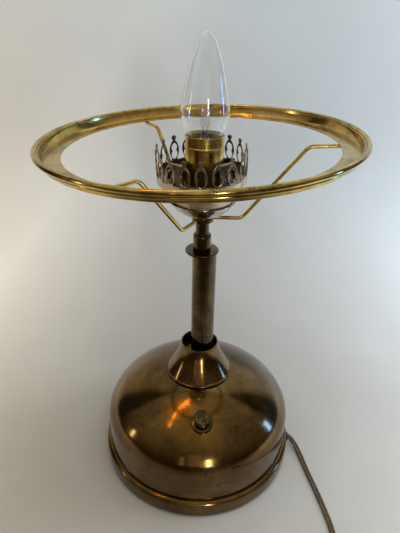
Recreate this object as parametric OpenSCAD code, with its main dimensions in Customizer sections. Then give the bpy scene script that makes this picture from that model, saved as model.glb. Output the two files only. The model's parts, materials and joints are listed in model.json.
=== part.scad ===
// Brass table lamp made from an old oil lamp: domed base, column, chimney gallery and shade ring.
// Millimetres. The origin is the centre of the foot on the table, +Z is up and -Y is the front.

/* [Foot and dome] */
// Outside diameter of the foot band
foot_d = 202; // [190:1:215]
// Height of the foot band up to the start of its rounded shoulder
foot_band_h = 14.6; // [13:0.2:17]
// Outside diameter of the dome at its wall
dome_d = 193; // [184:1:206]
// Height at which the dome's wall starts to curve in
dome_wall_h = 51.5; // [45:0.5:56]
// Rise of the dome above its wall
dome_rise = 57.2; // [50:0.2:62]
// Roundness of the dome: 2 is an ellipse, less is more pointed
dome_power = 1.787; // [1.7:0.01:2]
// Thickness of the spun brass sheet
sheet = 1; // [0.8:0.1:1.4]

/* [Collar and column] */
// Diameter of the bell collar at its foot
collar_foot_d = 69; // [60:1:72]
// Diameter of the collar at its mouth
collar_mouth_d = 37; // [34:0.5:42]
// Height of the collar's mouth
collar_top = 138.3; // [132:0.1:144]
// Outside diameter of the column tube
column_d = 22.6; // [20:0.1:25]
// Height of the top of the column tube
column_top = 239.8; // [225:0.1:243]
// Looseness of the tube: how far it stands to the right of the lamp's axis
column_shift = 2.5; // [0:0.1:2.6]
// Diameter of the disc at the top of the column
disc_d = 30.9; // [27:0.1:34]
// Diameter of the neck sleeve above the disc
neck_d = 16.6; // [15:0.1:18]
// Diameter of the upper coupling
coupling_d = 12.2; // [11.8:0.1:13]
// Outside diameter of the threaded lamp pipe
pipe_d = 10.2; // [9.8:0.1:10.3]

/* [Shade ring] */
// Height of the top of the shade ring
ring_top = 347.1; // [340:0.1:355]
// Outside diameter of the ring over its rolled bead
ring_d = 266.4; // [255:0.2:275]
// Diameter of the rolled bead
ring_bead_d = 4.4; // [3.6:0.1:5]
// Inside diameter of the ring's ledge
ledge_d = 224.4; // [215:0.2:230]
// Diameter of the wire arms
arm_d = 3.4; // [3:0.1:3.8]
// Lean of the ring, right side up, in degrees: the wire arms have been bent a little by hand
ring_lean = 2.5; // [0:0.1:3]
// How far the ring sits to the left of the lamp's axis
ring_shift = 3; // [0:0.1:4]

/* [Gallery] */
// Diameter through the middle of the fingers
finger_circle_d = 75.6; // [74:0.1:78]
// Number of fingers
finger_count = 18; // [12:1:20]
// Width of a finger's loop
loop_w = 10; // [9:0.1:10.6]
// Height of a finger's loop
loop_h = 18.6; // [16:0.1:20]
// Diameter of the disc at a finger's tip
tip_d = 4.4; // [3.6:0.1:5]
// Turn between the two front spring clips
clip_spread = 70; // [60:1:80]
// How far the gallery sits to the left of the lamp's axis
gallery_shift = 1; // [0:0.1:2]
// Lean of the crown in the bowl, back right side up, in degrees: it has worked loose
crown_lean = 4.1; // [0:0.1:4.2]

/* [Socket and bulb] */
// Outside diameter of the socket shell
socket_d = 32; // [31.8:0.1:33]
// Largest diameter of the bulb
bulb_d = 40; // [38:0.1:42]
// Height of the bulb's tip
bulb_tip = 423.2; // [418:0.1:428]
// Pitch of the lamp thread
thread_pitch = 3.629; // [3.629]

/* [Switch] */
// Distance of the middle of the switch's boss from the lamp's axis
switch_r = 66; // [64:0.1:70]
// Turn of the switch about the lamp's axis, from the front
switch_azimuth = 3.6; // [-20:0.1:20]
// Tilt of the switch's axis from upright
switch_tilt = 20; // [18:0.5:24]
// Diameter of the push button
button_d = 16; // [14:0.1:17]
// Diameter of the boss under the button
boss_d = 21; // [20:0.1:22]
// Travel of the push button
button_travel = 2.5; // [1.5:0.1:3]

/* [Cord] */
// Width of the flat twin cord
cord_w = 5.6; // [5:0.1:6.2]
// Thickness of the flat twin cord
cord_t = 3; // [2.6:0.1:3.2]

/* [Hidden] */
$fn = 96;

// Foot and dome
foot_r = foot_d / 2;
felt_t = 1.5;
felt_w = 11;
foot_flange_w = 13;
foot_toe_r = 2;
dome_r = dome_d / 2;
dome_gap = 0.1;
dome_edge = 13.2;
plate_t = 1.2;
plate_z = dome_edge - plate_t;
shoulder_r = foot_r - dome_r - dome_gap;
cord_z = 7.7;
cord_y = -4.6;
cord_hole_r = 4.1;

// Lamp pipe and its hardware
pipe_r = pipe_d / 2;
pipe_hole_r = pipe_r + 0.1;
pipe_bore_r = 3.6;
pipe_bottom = 5.2;
pipe_top = 289;
clamp_t = 1.2;
lock_t = 0.8;
nut_h = 4;
nut_af = 14;

// Collar and column
collar_foot_r = collar_foot_d / 2;
collar_mouth_r = collar_mouth_d / 2;
collar_bead_r = 1.2;
seat_flange_t = 3;
recess = 9;
seat_top = collar_top - recess;
tube_gap = 0.02;
column_r = column_d / 2;
washer_r = column_r + 0.8;
washer_t = 1;
disc_t = 2;
disc_z = column_top + washer_t;
neck_z = disc_z + disc_t;
neck_top = 258.4;
neck_round = 1.6;
hub_z = 271.6;
hub_h = 5;
hub_r = 10;
hub_socket = 4;

// Shade ring and arms
ring_r = ring_d / 2;
bead_r = ring_bead_d / 2;
bead_c = [ring_r - bead_r, ring_top - bead_r];
ring_sheet = 0.9;
ledge_top = 338.1;
ledge_z = ledge_top - ring_sheet;
ring_wall_r = ring_r - 4.4;
ring_low_r = ring_r - 5.4;
arm_r = arm_d / 2;
arm_bend = 4.4;
arm_sides = 20;
arm_in_z = hub_z + hub_h / 2 + 0.4;
arm_out_z = ledge_top - ring_sheet / cos(ring_lean) - arm_r - 0.06;
arm_knee_in = 34.4;
arm_knees = [86, 91, 90];
arm_end = ledge_d / 2 + 8;

// Gallery
finger_r = finger_circle_d / 2;
finger_t = 0.8;
rim_z = 310;
rim_top = 316.8;
loop_z = 316;
shelf_r = 31.2;
shelf_z = 306.4;
crown_way = 60;
bowl_r = 29.8;
bowl_flat_r = 9.8;
bowl_top = 292;
bowl_bottom = hub_z + hub_h;
bowl_sheet = 0.8;
seat_z = rim_z + 1;
seat_t = 0.8;
clip_w = 12;
clip_t = 0.5;
clip_roll_r = 1.5;

// Socket
socket_r = socket_d / 2;
socket_top = ring_top;
shell_t = 0.6;
shell_step_z = 322.4;
shell_low_r = socket_r - 0.6;
shell_bead_z = 337.8;
shell_z = 304;
cap_z = 283;
cap_hub_top = 289;
cap_hub_r = 7.4;
cap_dish_z = 301;
cap_rim = 306;
cap_t = 0.8;
liner_r = shell_low_r - shell_t - 0.05;
liner_t = 0.6;
liner_recess = 7;
base_r = 14;
base_z = 297;
base_top = 311.4;
base_flat = 11.5;
terminal_z = 302.5;

// Lamp thread, as a rolled wave: the radius swings either side of a mean
thread_wave = 0.42;
thread_mean_r = 12.7;
thread_gap = 0.3;
thread_turns = 4;
thread_z = 318.5;
screw_z = 316.5;
screw_turns = 4.5;
screw_wall_r = 14.1;
thread_steps = 8;
thread_sides = 24;

// Bulb
bulb_r = bulb_d / 2;
bulb_wide_z = 364;
bulb_neck_z = 338.5;
bulb_neck_r = 12.7;
bulb_flare_z = 342.5;
contact_z = thread_z - 6.6;
glass_foot = bulb_neck_z - 3.4;
glass_t = 0.8;
cap_wall_r = 11.6;

// Switch: heights along its own axis, from the middle of the boss's top face
switch_z = dome_z(switch_r) + 2.6;
button_r = button_d / 2;
button_h = 6;
button_gap = button_travel + 1.7;
boss_r = boss_d / 2;
bushing_r = 5;
bushing_bore_r = 3.2;
bushing_top = 0.8;
stem_r = 3.14;
stem_end = -10;
switch_case_r = 9.5;
switch_case_top = -8.2;
switch_case_h = 17;
spring_bottom = switch_case_top - 12;
terminal_gap = 5;
terminal_h = 5;
terminal_end = switch_case_top - switch_case_h - terminal_h;

// Cord, plug and wires
plug_y = -196;
plug_x = 130;
plug_z = 6.8;
plug_l = 26;
cord_end = [60, cord_y, cord_z];
wire_r = 0.95;
wire_sides = 12;

// Height of the dome's outside at a distance from the axis
function dome_z(r) = dome_wall_h + dome_rise * pow(1 - pow(r / dome_r, dome_power), 1 / dome_power);

// Points of an arc about c, from angle a0 to a1
function arc(c, r, a0, a1, n = 8) =
    [for (i = [0:n]) c + r * [cos(a0 + (a1 - a0) * i / n), sin(a0 + (a1 - a0) * i / n)]];

// Points of a dome's profile, from its wall to the axis
function dome_arc(r, rise, n = 28) = [
    for (i = [0:n])
        let (a = 90 * i / n)
            [r * pow(cos(a), 2 / dome_power), dome_wall_h + rise * pow(sin(a), 2 / dome_power)]
];

// Points of a Catmull-Rom curve through a list of points, n to each span
function spline_point(p, i, t) =
    let (
        a = p[max(i - 1, 0)],
        b = p[i],
        c = p[i + 1],
        d = p[min(i + 2, len(p) - 1)]
    )
    0.5 * (2 * b + (c - a) * t + (2 * a - 5 * b + 4 * c - d) * t * t + (3 * b - a - 3 * c + d) * t * t * t);

function spline(p, n = 6) = concat(
    [for (i = [0:len(p) - 2]) for (j = [0:n - 1]) spline_point(p, i, j / n)],
    [p[len(p) - 1]]
);

function unit(v) = v / norm(v);
function tangent(p, i) = unit(p[min(i + 1, len(p) - 1)] - p[max(i - 1, 0)]);

// A section carried along a path; up is any direction that the path never runs along
module sweep(path, section, up = [0, 0, 1]) {
    m = len(section);
    n = len(path);
    points = [
        for (i = [0:n - 1])
            let (t = tangent(path, i), side = unit(cross(t, up)), top = cross(side, t))
                for (s = section) path[i] + s[0] * side + s[1] * top
    ];
    walls = [
        for (i = [0:n - 2])
            for (j = [0:m - 1])
                [i * m + j, i * m + (j + 1) % m, (i + 1) * m + (j + 1) % m, (i + 1) * m + j]
    ];
    start = [for (j = [m - 1:-1:0]) j];
    end = [for (j = [0:m - 1]) (n - 1) * m + j];
    polyhedron(points, concat(walls, [start], [end]));
}

// A path through points, with each corner rounded off
function rounded(p, cut, n = 8) = concat(
    [p[0]],
    [
        for (i = [1:len(p) - 2])
            let (a = p[i] + cut * unit(p[i - 1] - p[i]), b = p[i] + cut * unit(p[i + 1] - p[i]))
                for (j = [0:n])
                    let (t = j / n) (1 - t) * (1 - t) * a + 2 * t * (1 - t) * p[i] + t * t * b
    ],
    [p[len(p) - 1]]
);

function round_section(r, n = wire_sides) = [for (i = [0:n - 1]) r * [cos(360 * i / n), sin(360 * i / n)]];

// A round wire through points
module wire(points, up, n = 6) {
    sweep(spline(points, n), round_section(wire_r), up);
}

// Twin cord section: two round cores joined side by side, as a figure of eight
function twin_section(w, t, n = 9) =
    let (r = t / 2, c = w / 2 - r, waist = acos(min(0.92, c / r)))
        concat(arc([c, 0], r, waist - 180, 180 - waist, n), arc([-c, 0], r, waist, 360 - waist, n));

// A solid of revolution with an inner wall and an outer wall that may carry a rolled thread
module thread_sleeve(z0, turns, outer_r, outer_wave, inner_r, inner_wave) {
    rows = turns * thread_steps;
    n = thread_sides;
    function ring(r, wave) = [
        for (k = [0:rows])
            for (j = [0:n - 1])
                let (a = 360 * j / n, z = thread_pitch * k / thread_steps)
                    let (rr = r + wave * cos(a - 360 * (z0 + z) / thread_pitch))
                        [rr * cos(a), rr * sin(a), z0 + z]
    ];
    points = concat(ring(outer_r, outer_wave), ring(inner_r, inner_wave));
    inner = (rows + 1) * n;
    outside = [
        for (k = [0:rows - 1])
            for (j = [0:n - 1])
                [k * n + j, (k + 1) * n + j, (k + 1) * n + (j + 1) % n, k * n + (j + 1) % n]
    ];
    inside = [
        for (k = [0:rows - 1])
            for (j = [0:n - 1])
                let (low = inner + k * n, high = low + n, next = (j + 1) % n)
                    [low + j, low + next, high + next, high + j]
    ];
    low = [for (j = [0:n - 1]) [j, (j + 1) % n, inner + (j + 1) % n, inner + j]];
    top = rows * n;
    high = [for (j = [0:n - 1]) [top + j, inner + top + j, inner + top + (j + 1) % n, top + (j + 1) % n]];
    polyhedron(points, concat(outside, inside, low, high));
}

// A tube between two heights
module tube(r, bore, z0, z1) {
    translate([0, 0, z0])
        difference() {
            cylinder(r = r, h = z1 - z0);
            translate([0, 0, -1]) cylinder(r = bore, h = z1 - z0 + 2);
        }
}

// Hexagon nut, across flats af
module hex_nut(af, h, bore) {
    difference() {
        cylinder(r = af / 2 / cos(30), h = h, $fn = 6);
        translate([0, 0, -1]) cylinder(r = bore, h = h + 2);
    }
}

// A point given in the switch's own frame, in the lamp's frame
function at_switch(p) =
    let (
        y = p[1] * cos(switch_tilt) - p[2] * sin(switch_tilt) - switch_r,
        z = p[1] * sin(switch_tilt) + p[2] * cos(switch_tilt) + switch_z,
        c = cos(switch_azimuth),
        s = sin(switch_azimuth)
    )
    [p[0] * c - y * s, p[0] * s + y * c, z];

// Children drawn about the switch's own axis, with +Z out of the dome
module on_switch_axis() {
    rotate(switch_azimuth)
        translate([0, -switch_r, switch_z])
            rotate([switch_tilt, 0, 0])
                children();
}

// Felt ring that the lamp stands on
module foot_felt() {
    color("darkolivegreen")
        tube(foot_r - foot_toe_r, foot_r - foot_toe_r - felt_w, 0, felt_t);
}

// Drawn foot band with a turned-in flange at the bottom and a rounded shoulder at the top
module foot_ring() {
    z0 = felt_t;
    toe = [foot_r - foot_toe_r, z0 + foot_toe_r];
    shoulder = [foot_r - shoulder_r, foot_band_h];
    color("darkgoldenrod")
        difference() {
            rotate_extrude()
                polygon(concat(
                    [[foot_r - foot_flange_w, z0]],
                    arc(toe, foot_toe_r, -90, 0, 5),
                    arc(shoulder, shoulder_r, 0, 90),
                    arc(shoulder, shoulder_r - sheet, 90, 0),
                    arc(toe, foot_toe_r - sheet, 0, -90, 5),
                    [[foot_r - foot_flange_w, z0 + sheet]]
                ));
            translate([foot_r, cord_y, cord_z])
                rotate([0, 90, 0])
                    cylinder(r = cord_hole_r, h = 12, center = true);
        }
}

module bottom_plate() {
    color("dimgray")
        translate([0, 0, plate_z])
            difference() {
                cylinder(r = dome_r, h = plate_t);
                translate([0, 0, -1]) cylinder(r = pipe_hole_r, h = plate_t + 2);
                translate([28, -26, -1]) cylinder(r = 4, h = plate_t + 2);
            }
}

module clamp_washer() {
    color("silver") tube(12, pipe_hole_r, plate_z - clamp_t, plate_z);
}

// Toothed lock washer
module lock_washer() {
    teeth = 10;
    z0 = plate_z - clamp_t - lock_t;
    color("gray")
        difference() {
            tube(8.2, pipe_hole_r, z0, z0 + lock_t);
            for (i = [0:teeth - 1])
                rotate(360 * i / teeth)
                    translate([7.6, -0.6, z0 - 1])
                        cube([2, 1.2, lock_t + 2]);
        }
}

module bottom_nut() {
    color("goldenrod")
        translate([0, 0, plate_z - clamp_t - lock_t - nut_h])
            hex_nut(nut_af, nut_h, pipe_r + 0.05);
}

// The old fuel tank: straight wall below, dome above
module base_dome() {
    inner = dome_arc(dome_r - sheet, dome_rise - sheet);
    color("darkgoldenrod")
        difference() {
            rotate_extrude()
                polygon(concat(
                    [[dome_r - sheet, dome_edge], [dome_r, dome_edge]],
                    dome_arc(dome_r, dome_rise),
                    [for (i = [len(inner) - 1:-1:0]) inner[i]]
                ));
            cylinder(r = pipe_hole_r, h = 2 * collar_top);
            on_switch_axis() cylinder(r = bushing_r + 0.2, h = 30, center = true);
        }
}

// Bell collar: a flare with a rolled edge that rests on the dome, open at its mouth
module bell_collar() {
    bead_x = collar_foot_r - collar_bead_r;
    bead_z = dome_z(bead_x - 1.4) + collar_bead_r + 0.1;
    foot_z = bead_z + collar_bead_r;
    flare = bead_x + sheet / 2 - collar_mouth_r;
    n = 18;
    outer = [
        for (i = [0:n])
            let (u = i / n)
                [collar_mouth_r + flare * pow(u, 1.5), collar_top - (collar_top - foot_z) * u]
    ];
    inner = [for (i = [n:-1:0]) outer[i] - [sheet, 0]];
    color("saddlebrown")
        rotate_extrude()
            polygon(concat(outer, arc([bead_x, bead_z], collar_bead_r, 60, -240, 12), inner));
}

// Turned seat inside the collar: it stands on the dome and centres the column
module column_seat() {
    bottom = dome_z(pipe_hole_r) + 0.03;
    color("sienna")
        difference() {
            union() {
                translate([0, 0, bottom]) cylinder(r = 13.6, h = seat_top - bottom);
                translate([0, 0, seat_top - seat_flange_t])
                    cylinder(r = collar_mouth_r - sheet + 0.3, h = seat_flange_t);
                cylinder(r = column_r - sheet - column_shift - 0.05, h = seat_top + 5);
            }
            translate([0, 0, -1]) cylinder(r = 40, h = bottom + 1);
            cylinder(r = pipe_hole_r, h = seat_top + 10);
        }
}

module column_tube() {
    color("saddlebrown")
        translate([column_shift, 0, 0]) tube(column_r, column_r - sheet, seat_top + tube_gap, column_top);
}

module column_washer() {
    color("peru")
        translate([column_shift, 0, 0])
            tube(washer_r, pipe_hole_r + column_shift, column_top, column_top + washer_t);
}

// Disc at the head of the column, with eased edges
module column_disc() {
    ease = 0.5;
    r = disc_d / 2;
    color("saddlebrown")
        rotate_extrude()
            polygon([
                [pipe_hole_r, disc_z],
                [r - ease, disc_z],
                [r, disc_z + ease],
                [r, disc_z + disc_t - ease],
                [r - ease, disc_z + disc_t],
                [pipe_hole_r, disc_z + disc_t]
            ]);
}

// Neck sleeve with a rounded top edge
module neck_sleeve() {
    r = neck_d / 2;
    color("saddlebrown")
        rotate_extrude()
            polygon(concat(
                [[pipe_hole_r, neck_z], [r, neck_z]],
                arc([r - neck_round, neck_top - neck_round], neck_round, 0, 90),
                [[pipe_hole_r, neck_top]]
            ));
}

// Upper coupling with a small collar at each end
module upper_coupling() {
    r = coupling_d / 2;
    band = 1.3;
    color("peru")
        difference() {
            union() {
                translate([0, 0, neck_top]) cylinder(r = r, h = hub_z - neck_top);
                for (z = [neck_top, hub_z - band])
                    translate([0, 0, z]) cylinder(r = r + 0.6, h = band);
            }
            translate([0, 0, neck_top - 1]) cylinder(r = pipe_hole_r, h = hub_z - neck_top + 2);
        }
}

module lamp_pipe() {
    color("goldenrod") tube(pipe_r, pipe_bore_r, pipe_bottom, pipe_top);
}

// Hub that holds the three arms in radial sockets
module spider_hub() {
    color("saddlebrown")
        difference() {
            tube(hub_r, pipe_hole_r, hub_z, hub_z + hub_h);
            for (a = [0, 120, 240])
                rotate(a)
                    translate([hub_r - hub_socket, 0, arm_in_z])
                        rotate([0, 90, 0])
                            cylinder(r = arm_r + 0.04, h = hub_socket + 2);
        }
}

// A point of an arm's outer run, flat under the ring's leaning ledge
function under_ledge(p) = [p[0], p[1], arm_out_z + p[0] * tan(ring_lean)];

// One arm: level out of the hub, up a slope to its knee, then out under the ledge, turned a little
module shade_arm(azimuth, knee_r, turn) {
    way = [cos(azimuth), sin(azimuth)];
    run = [cos(azimuth + turn), sin(azimuth + turn)];
    knee = knee_r * way;
    along = knee * run;
    tip = knee + (sqrt(along * along - knee_r * knee_r + arm_end * arm_end) - along) * run;
    start = (hub_r - hub_socket + 0.1) * way;
    low_knee = arm_knee_in * way;
    path = [
        [start[0], start[1], arm_in_z],
        [low_knee[0], low_knee[1], arm_in_z],
        under_ledge(knee),
        under_ledge(tip)
    ];
    color("darkgoldenrod")
        sweep(rounded(path, arm_bend), round_section(arm_r, arm_sides), [-way[1], way[0], 0]);
}

module shade_arm_right() {
    shade_arm(0, arm_knees[0], 0);
}

module shade_arm_back_left() {
    shade_arm(120, arm_knees[1], 0);
}

module shade_arm_front_left() {
    shade_arm(240, arm_knees[2], -16);
}

// Children leaning and shifted with the ring, about the height of its ledge
module ring_leaning() {
    translate([0, 0, ledge_top])
        rotate([0, -ring_lean, 0])
            translate([-ring_shift, 0, -ledge_top])
                children();
}

// Ring for the glass shade: rolled bead, small second bead, wall and inward ledge
module shade_ring() {
    second = [ring_wall_r, ring_top - 6];
    color("goldenrod")
        ring_leaning() rotate_extrude() {
            translate(bead_c) circle(r = bead_r);
            translate(second) circle(r = 1.1);
            polygon(concat(
                [[bead_c[0], bead_c[1]], [ring_wall_r - ring_sheet, bead_c[1]]],
                [[ring_low_r - ring_sheet, ledge_top + 0.8]],
                [[ring_low_r - ring_sheet - 0.8, ledge_top]],
                [[ledge_d / 2, ledge_top]],
                [[ledge_d / 2, ledge_z]],
                arc([ring_low_r - 1.2, ledge_z + 1.2], 1.2, -90, 0, 5),
                [[ring_wall_r, ring_top - 5], [ring_wall_r, bead_c[1] - 1.6]]
            ));
        }
}

// Polished bowl under the crown
module gallery_bowl() {
    depth = bowl_top - bowl_bottom;
    function curve(r, d) = [
        for (i = [0:14])
            let (a = 90 * i / 14) [bowl_flat_r + (r - bowl_flat_r) * cos(a), bowl_top - d * sin(a)]
    ];
    outer = curve(bowl_r, depth);
    inner = curve(bowl_r - bowl_sheet, depth - bowl_sheet);
    bore_r = pipe_hole_r + gallery_shift;
    color("silver")
        translate([-gallery_shift, 0, 0])
            rotate_extrude()
                polygon(concat(
                    outer,
                    [[bore_r, bowl_bottom], [bore_r, bowl_bottom + bowl_sheet]],
                    [for (i = [14:-1:0]) inner[i]]
                ));
}

// Flat outline of one finger: a pointed loop with two lens-shaped openings that meet, and a disc tip
module lens(w, h) {
    r = (h * h + w * w) / (4 * w);
    intersection() {
        translate([r - w / 2, 0]) circle(r = r);
        translate([w / 2 - r, 0]) circle(r = r);
    }
}

module finger_outline() {
    difference() {
        union() {
            translate([0, loop_h / 2]) lens(loop_w, loop_h + 1);
            translate([0, loop_h + tip_d * 0.42]) circle(r = tip_d / 2);
            translate([-loop_w * 0.3, -0.6]) square([loop_w * 0.6, 3.4]);
        }
        translate([0, loop_h * 0.33]) lens(loop_w * 0.66, loop_h * 0.52);
        translate([0, loop_h * 0.64]) lens(loop_w * 0.62, loop_h * 0.48);
    }
}

// Children shifted with the gallery and leaning in its bowl
module crown_leaning() {
    translate([-gallery_shift, 0, bowl_top])
        rotate(crown_way)
            rotate([0, -crown_lean, 0])
                rotate(-crown_way)
                    translate([0, 0, -bowl_top])
                        children();
}

// Crown of the gallery: a skirt that drops into the bowl, a rim band and looped fingers
module gallery_crown() {
    wall = finger_t / 2;
    skirt_r = bowl_r - bowl_sheet - 0.8;
    color("lightsteelblue")
        crown_leaning() {
            for (i = [0:finger_count - 1])
                rotate(360 * i / finger_count - 90)
                    translate([finger_r - wall, 0, loop_z])
                        rotate([90, 0, 90])
                            linear_extrude(finger_t) finger_outline();
            rotate_extrude()
                polygon([
                    [skirt_r - 0.8 - finger_t, bowl_top - 2],
                    [skirt_r - 0.8, bowl_top - 2],
                    [skirt_r, bowl_top + 1],
                    [shelf_r, shelf_z],
                    [finger_r + wall, rim_z],
                    [finger_r + wall, rim_top],
                    [finger_r - wall, rim_top],
                    [finger_r - wall, rim_z + finger_t],
                    [shelf_r - finger_t, shelf_z + finger_t],
                    [skirt_r - finger_t, bowl_top + 1]
                ]);
        }
}

module gallery_nut() {
    color("goldenrod")
        translate([0, 0, bowl_bottom + bowl_sheet])
            hex_nut(nut_af, nut_h, pipe_r + 0.05);
}

// Flat ring inside the crown that a chimney would stand on
module chimney_seat() {
    r = finger_r - finger_t / 2 - 0.05;
    lip_r = r - 8;
    color("silver")
        crown_leaning()
            translate([0, 0, seat_z])
                rotate_extrude()
                    polygon([
                        [lip_r, 0],
                        [r, 0],
                        [r, seat_t],
                        [lip_r + seat_t, seat_t],
                        [lip_r + seat_t, 3],
                        [lip_r, 3]
                    ]);
}

// Three spring clips: strips that lean in and fold over at the top
module gallery_clips() {
    foot = [finger_r - 2.2, seat_z + seat_t + 0.05];
    head = [finger_r - 5.4, 332];
    color("gray")
        crown_leaning()
            for (a = [90, 270 - clip_spread / 2, 270 + clip_spread / 2])
                rotate(a)
                    translate([0, clip_w / 2, 0])
                        rotate([90, 0, 0])
                            linear_extrude(clip_w)
                                polygon(concat(
                                    [foot, foot + [clip_t, 0], head + [clip_t, 0]],
                                    arc(head + [clip_roll_r, 0], clip_roll_r - clip_t, 180, 10, 6),
                                    arc(head + [clip_roll_r, 0], clip_roll_r, 10, 180, 6)
                                ));
}

// Cup that screws on the pipe and holds the socket
module socket_cap() {
    r = socket_r + 0.6;
    inner = r - cap_t;
    color("goldenrod")
        rotate_extrude()
            polygon(concat(
                [[pipe_r + 0.05, cap_z], [cap_hub_r, cap_z], [cap_hub_r, cap_hub_top]],
                arc([cap_hub_r, cap_dish_z], r - cap_hub_r, -75, 0, 10),
                [[r, cap_rim], [inner, cap_rim]],
                arc([cap_hub_r, cap_dish_z], inner - cap_hub_r, 0, -78, 10),
                [[pipe_r + 0.05, cap_dish_z - inner + cap_hub_r]]
            ));
}

// Insulating body of the socket, with a flat for each terminal and a rim under the threaded shell
module socket_base() {
    color("black") {
        tube(base_r, 12.4, base_top - 0.1, screw_z - 0.02);
        difference() {
            translate([0, 0, base_z]) cylinder(r = base_r, h = base_top - base_z);
            for (s = [0, 1])
                mirror([s, 0, 0])
                    translate([base_flat, -base_r, base_z - 1])
                        cube([base_r, 2 * base_r, terminal_z + 4 - base_z + 1]);
            translate([0, 0, base_top - 1.2]) cylinder(r = 6, h = 3);
            for (s = [0, 1])
                mirror([s, 0, 0])
                    translate([base_flat, 0, terminal_z])
                        rotate([0, -90, 0])
                            cylinder(r = 1.8, h = 5);
        }
    }
}

// Centre contact: a brass disc with a sprung tongue under the bulb's tip
module socket_contact() {
    color("gold") {
        translate([0, 0, base_top - 1.2]) cylinder(r = 5.6, h = 0.8);
        translate([0, 0, base_top - 0.4]) cylinder(r = 2.4, h = contact_z - 0.02 - base_top + 0.4);
    }
}

// Threaded shell that the bulb screws into
module screw_shell() {
    color("gold") {
        thread_sleeve(screw_z, screw_turns, screw_wall_r, 0, thread_mean_r + thread_gap, thread_wave);
    }
}

// Terminal screws, one for each conductor
module terminal_screws() {
    color("silver")
        for (s = [0, 1])
            mirror([s, 0, 0])
                translate([base_flat, 0, terminal_z])
                    rotate([0, 90, 0])
                        difference() {
                            union() {
                                cylinder(r = 3, h = 1.7);
                                translate([0, 0, -4.5]) cylinder(r = 1.7, h = 4.6);
                            }
                            translate([-3.5, -0.4, 1]) cube([7, 0.8, 1]);
                        }
}

// Insulating sleeve between the shell and the live parts
module socket_liner() {
    color("tan") tube(liner_r, liner_r - liner_t, shell_z + 1, socket_top - liner_recess);
}

// Brass shell with a step low down and a rolled bead near its mouth
module socket_shell() {
    color("gold")
        rotate_extrude() {
            polygon([
                [shell_low_r - shell_t, shell_z],
                [shell_low_r, shell_z],
                [shell_low_r, shell_step_z - 0.6],
                [socket_r, shell_step_z],
                [socket_r, socket_top],
                [socket_r - shell_t, socket_top],
                [socket_r - shell_t, socket_top - 1.2],
                [shell_low_r - shell_t, socket_top - 1.8]
            ]);
            intersection() {
                translate([socket_r - 0.5, shell_bead_z]) circle(r = 1.1);
                translate([socket_r - shell_t, shell_bead_z - 2]) square([3, 4]);
            }
        }
}

// Solder tip of the bulb
module bulb_contact() {
    r = 9.2;
    color("silver")
        intersection() {
            translate([0, 0, contact_z + r]) sphere(r = r);
            translate([0, 0, contact_z]) cylinder(r = 4.6, h = 1.4);
        }
}

// Dark glass cone between the bulb's tip and its threaded cap
module bulb_insulator() {
    foot = contact_z + 1.42;
    color("black")
        rotate_extrude()
            polygon([
                [0, foot],
                [4.9, foot],
                [11.4, thread_z - 0.3],
                [11.4, thread_z + 1],
                [0, thread_z + 1]
            ]);
}

// Threaded cap with a plain skirt that holds the glass
module bulb_cap() {
    thread_end = thread_z + thread_turns * thread_pitch;
    color("silver") {
        thread_sleeve(thread_z, thread_turns, thread_mean_r, thread_wave, cap_wall_r, 0);
        rotate_extrude()
            polygon([
                [cap_wall_r - 0.05, thread_end - 1.2],
                [thread_mean_r - thread_wave - 0.1, thread_end - 1.2],
                [thread_mean_r - thread_wave - 0.1, thread_end],
                [13.1, thread_end + 0.6],
                [13.1, bulb_neck_z - 0.1],
                [12.75, bulb_neck_z - 0.1],
                [12.75, thread_end + 1.4],
                [cap_wall_r - 0.05, thread_end + 0.4]
            ]);
    }
}

// Profile of the bulb's glass, from neck to tip, for a largest radius and a tip height
function glass_upper(r, tip, n = 20) = [
    for (i = [1:n])
        let (u = 1 - pow(1 - i / n, 2))
            [r * pow(1 - pow(u, 1.35), 0.62), bulb_wide_z + (tip - bulb_wide_z) * u]
];

function glass_lower(r, neck, n = 12) = [
    for (i = [n:-1:0])
        let (v = i / n, swell = 1 - pow(v, 1.4))
            [neck + 0.3 + (r - neck - 0.3) * swell, bulb_wide_z - (bulb_wide_z - bulb_flare_z) * v]
];

// Candle-shaped glass, with its neck down inside the cap
module bulb_glass() {
    inner_r = bulb_r - glass_t;
    inner_neck = bulb_neck_r - glass_t;
    outer = concat(glass_lower(bulb_r, bulb_neck_r), glass_upper(bulb_r, bulb_tip));
    inner = concat(glass_lower(inner_r, inner_neck), glass_upper(inner_r, bulb_tip - glass_t));
    color("aliceblue", 0.4)
        rotate_extrude()
            polygon(concat(
                [[inner_neck, glass_foot], [bulb_neck_r, glass_foot], [bulb_neck_r, bulb_neck_z]],
                outer,
                [for (i = [len(inner) - 1:-1:0]) inner[i]],
                [[inner_neck, bulb_neck_z]]
            ));
}

// Glass stem that carries the filament
module bulb_stem() {
    flare_r = 11.7;
    color("aliceblue", 0.5)
        translate([0, 0, glass_foot])
            rotate_extrude()
                polygon(concat(
                    [[0, 0], [flare_r, 0], [flare_r, 1.2]],
                    arc([flare_r, 8.4], 7.2, -90, -160, 6),
                    [[3.4, 12], [2.6, 15], [0, 15]]
                ));
}

// Filament on its leads: two legs and a coiled loop between them
module bulb_filament() {
    base = glass_foot + 15.02;
    legs = 1.7;
    crest = 27;
    lead_h = 5;
    steps = 56;
    zigzag = [
        for (i = [0:steps])
            let (a = 180 * i / steps, side = i % 2 == 0 ? 1 : -1, s = i > 2 && i < steps - 2 ? side : 0)
                [legs * (1 + 1.2 * sin(a)) * cos(a) + s * 0.5, s * 0.8, base + lead_h + crest * sin(a)]
    ];
    color("gray") {
        for (s = [-1, 1])
            translate([s * legs, 0, base])
                cylinder(r = 0.35, h = lead_h + 0.3);
        sweep(zigzag, round_section(0.3, 6), [0, 1, 0.01]);
    }
}

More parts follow.
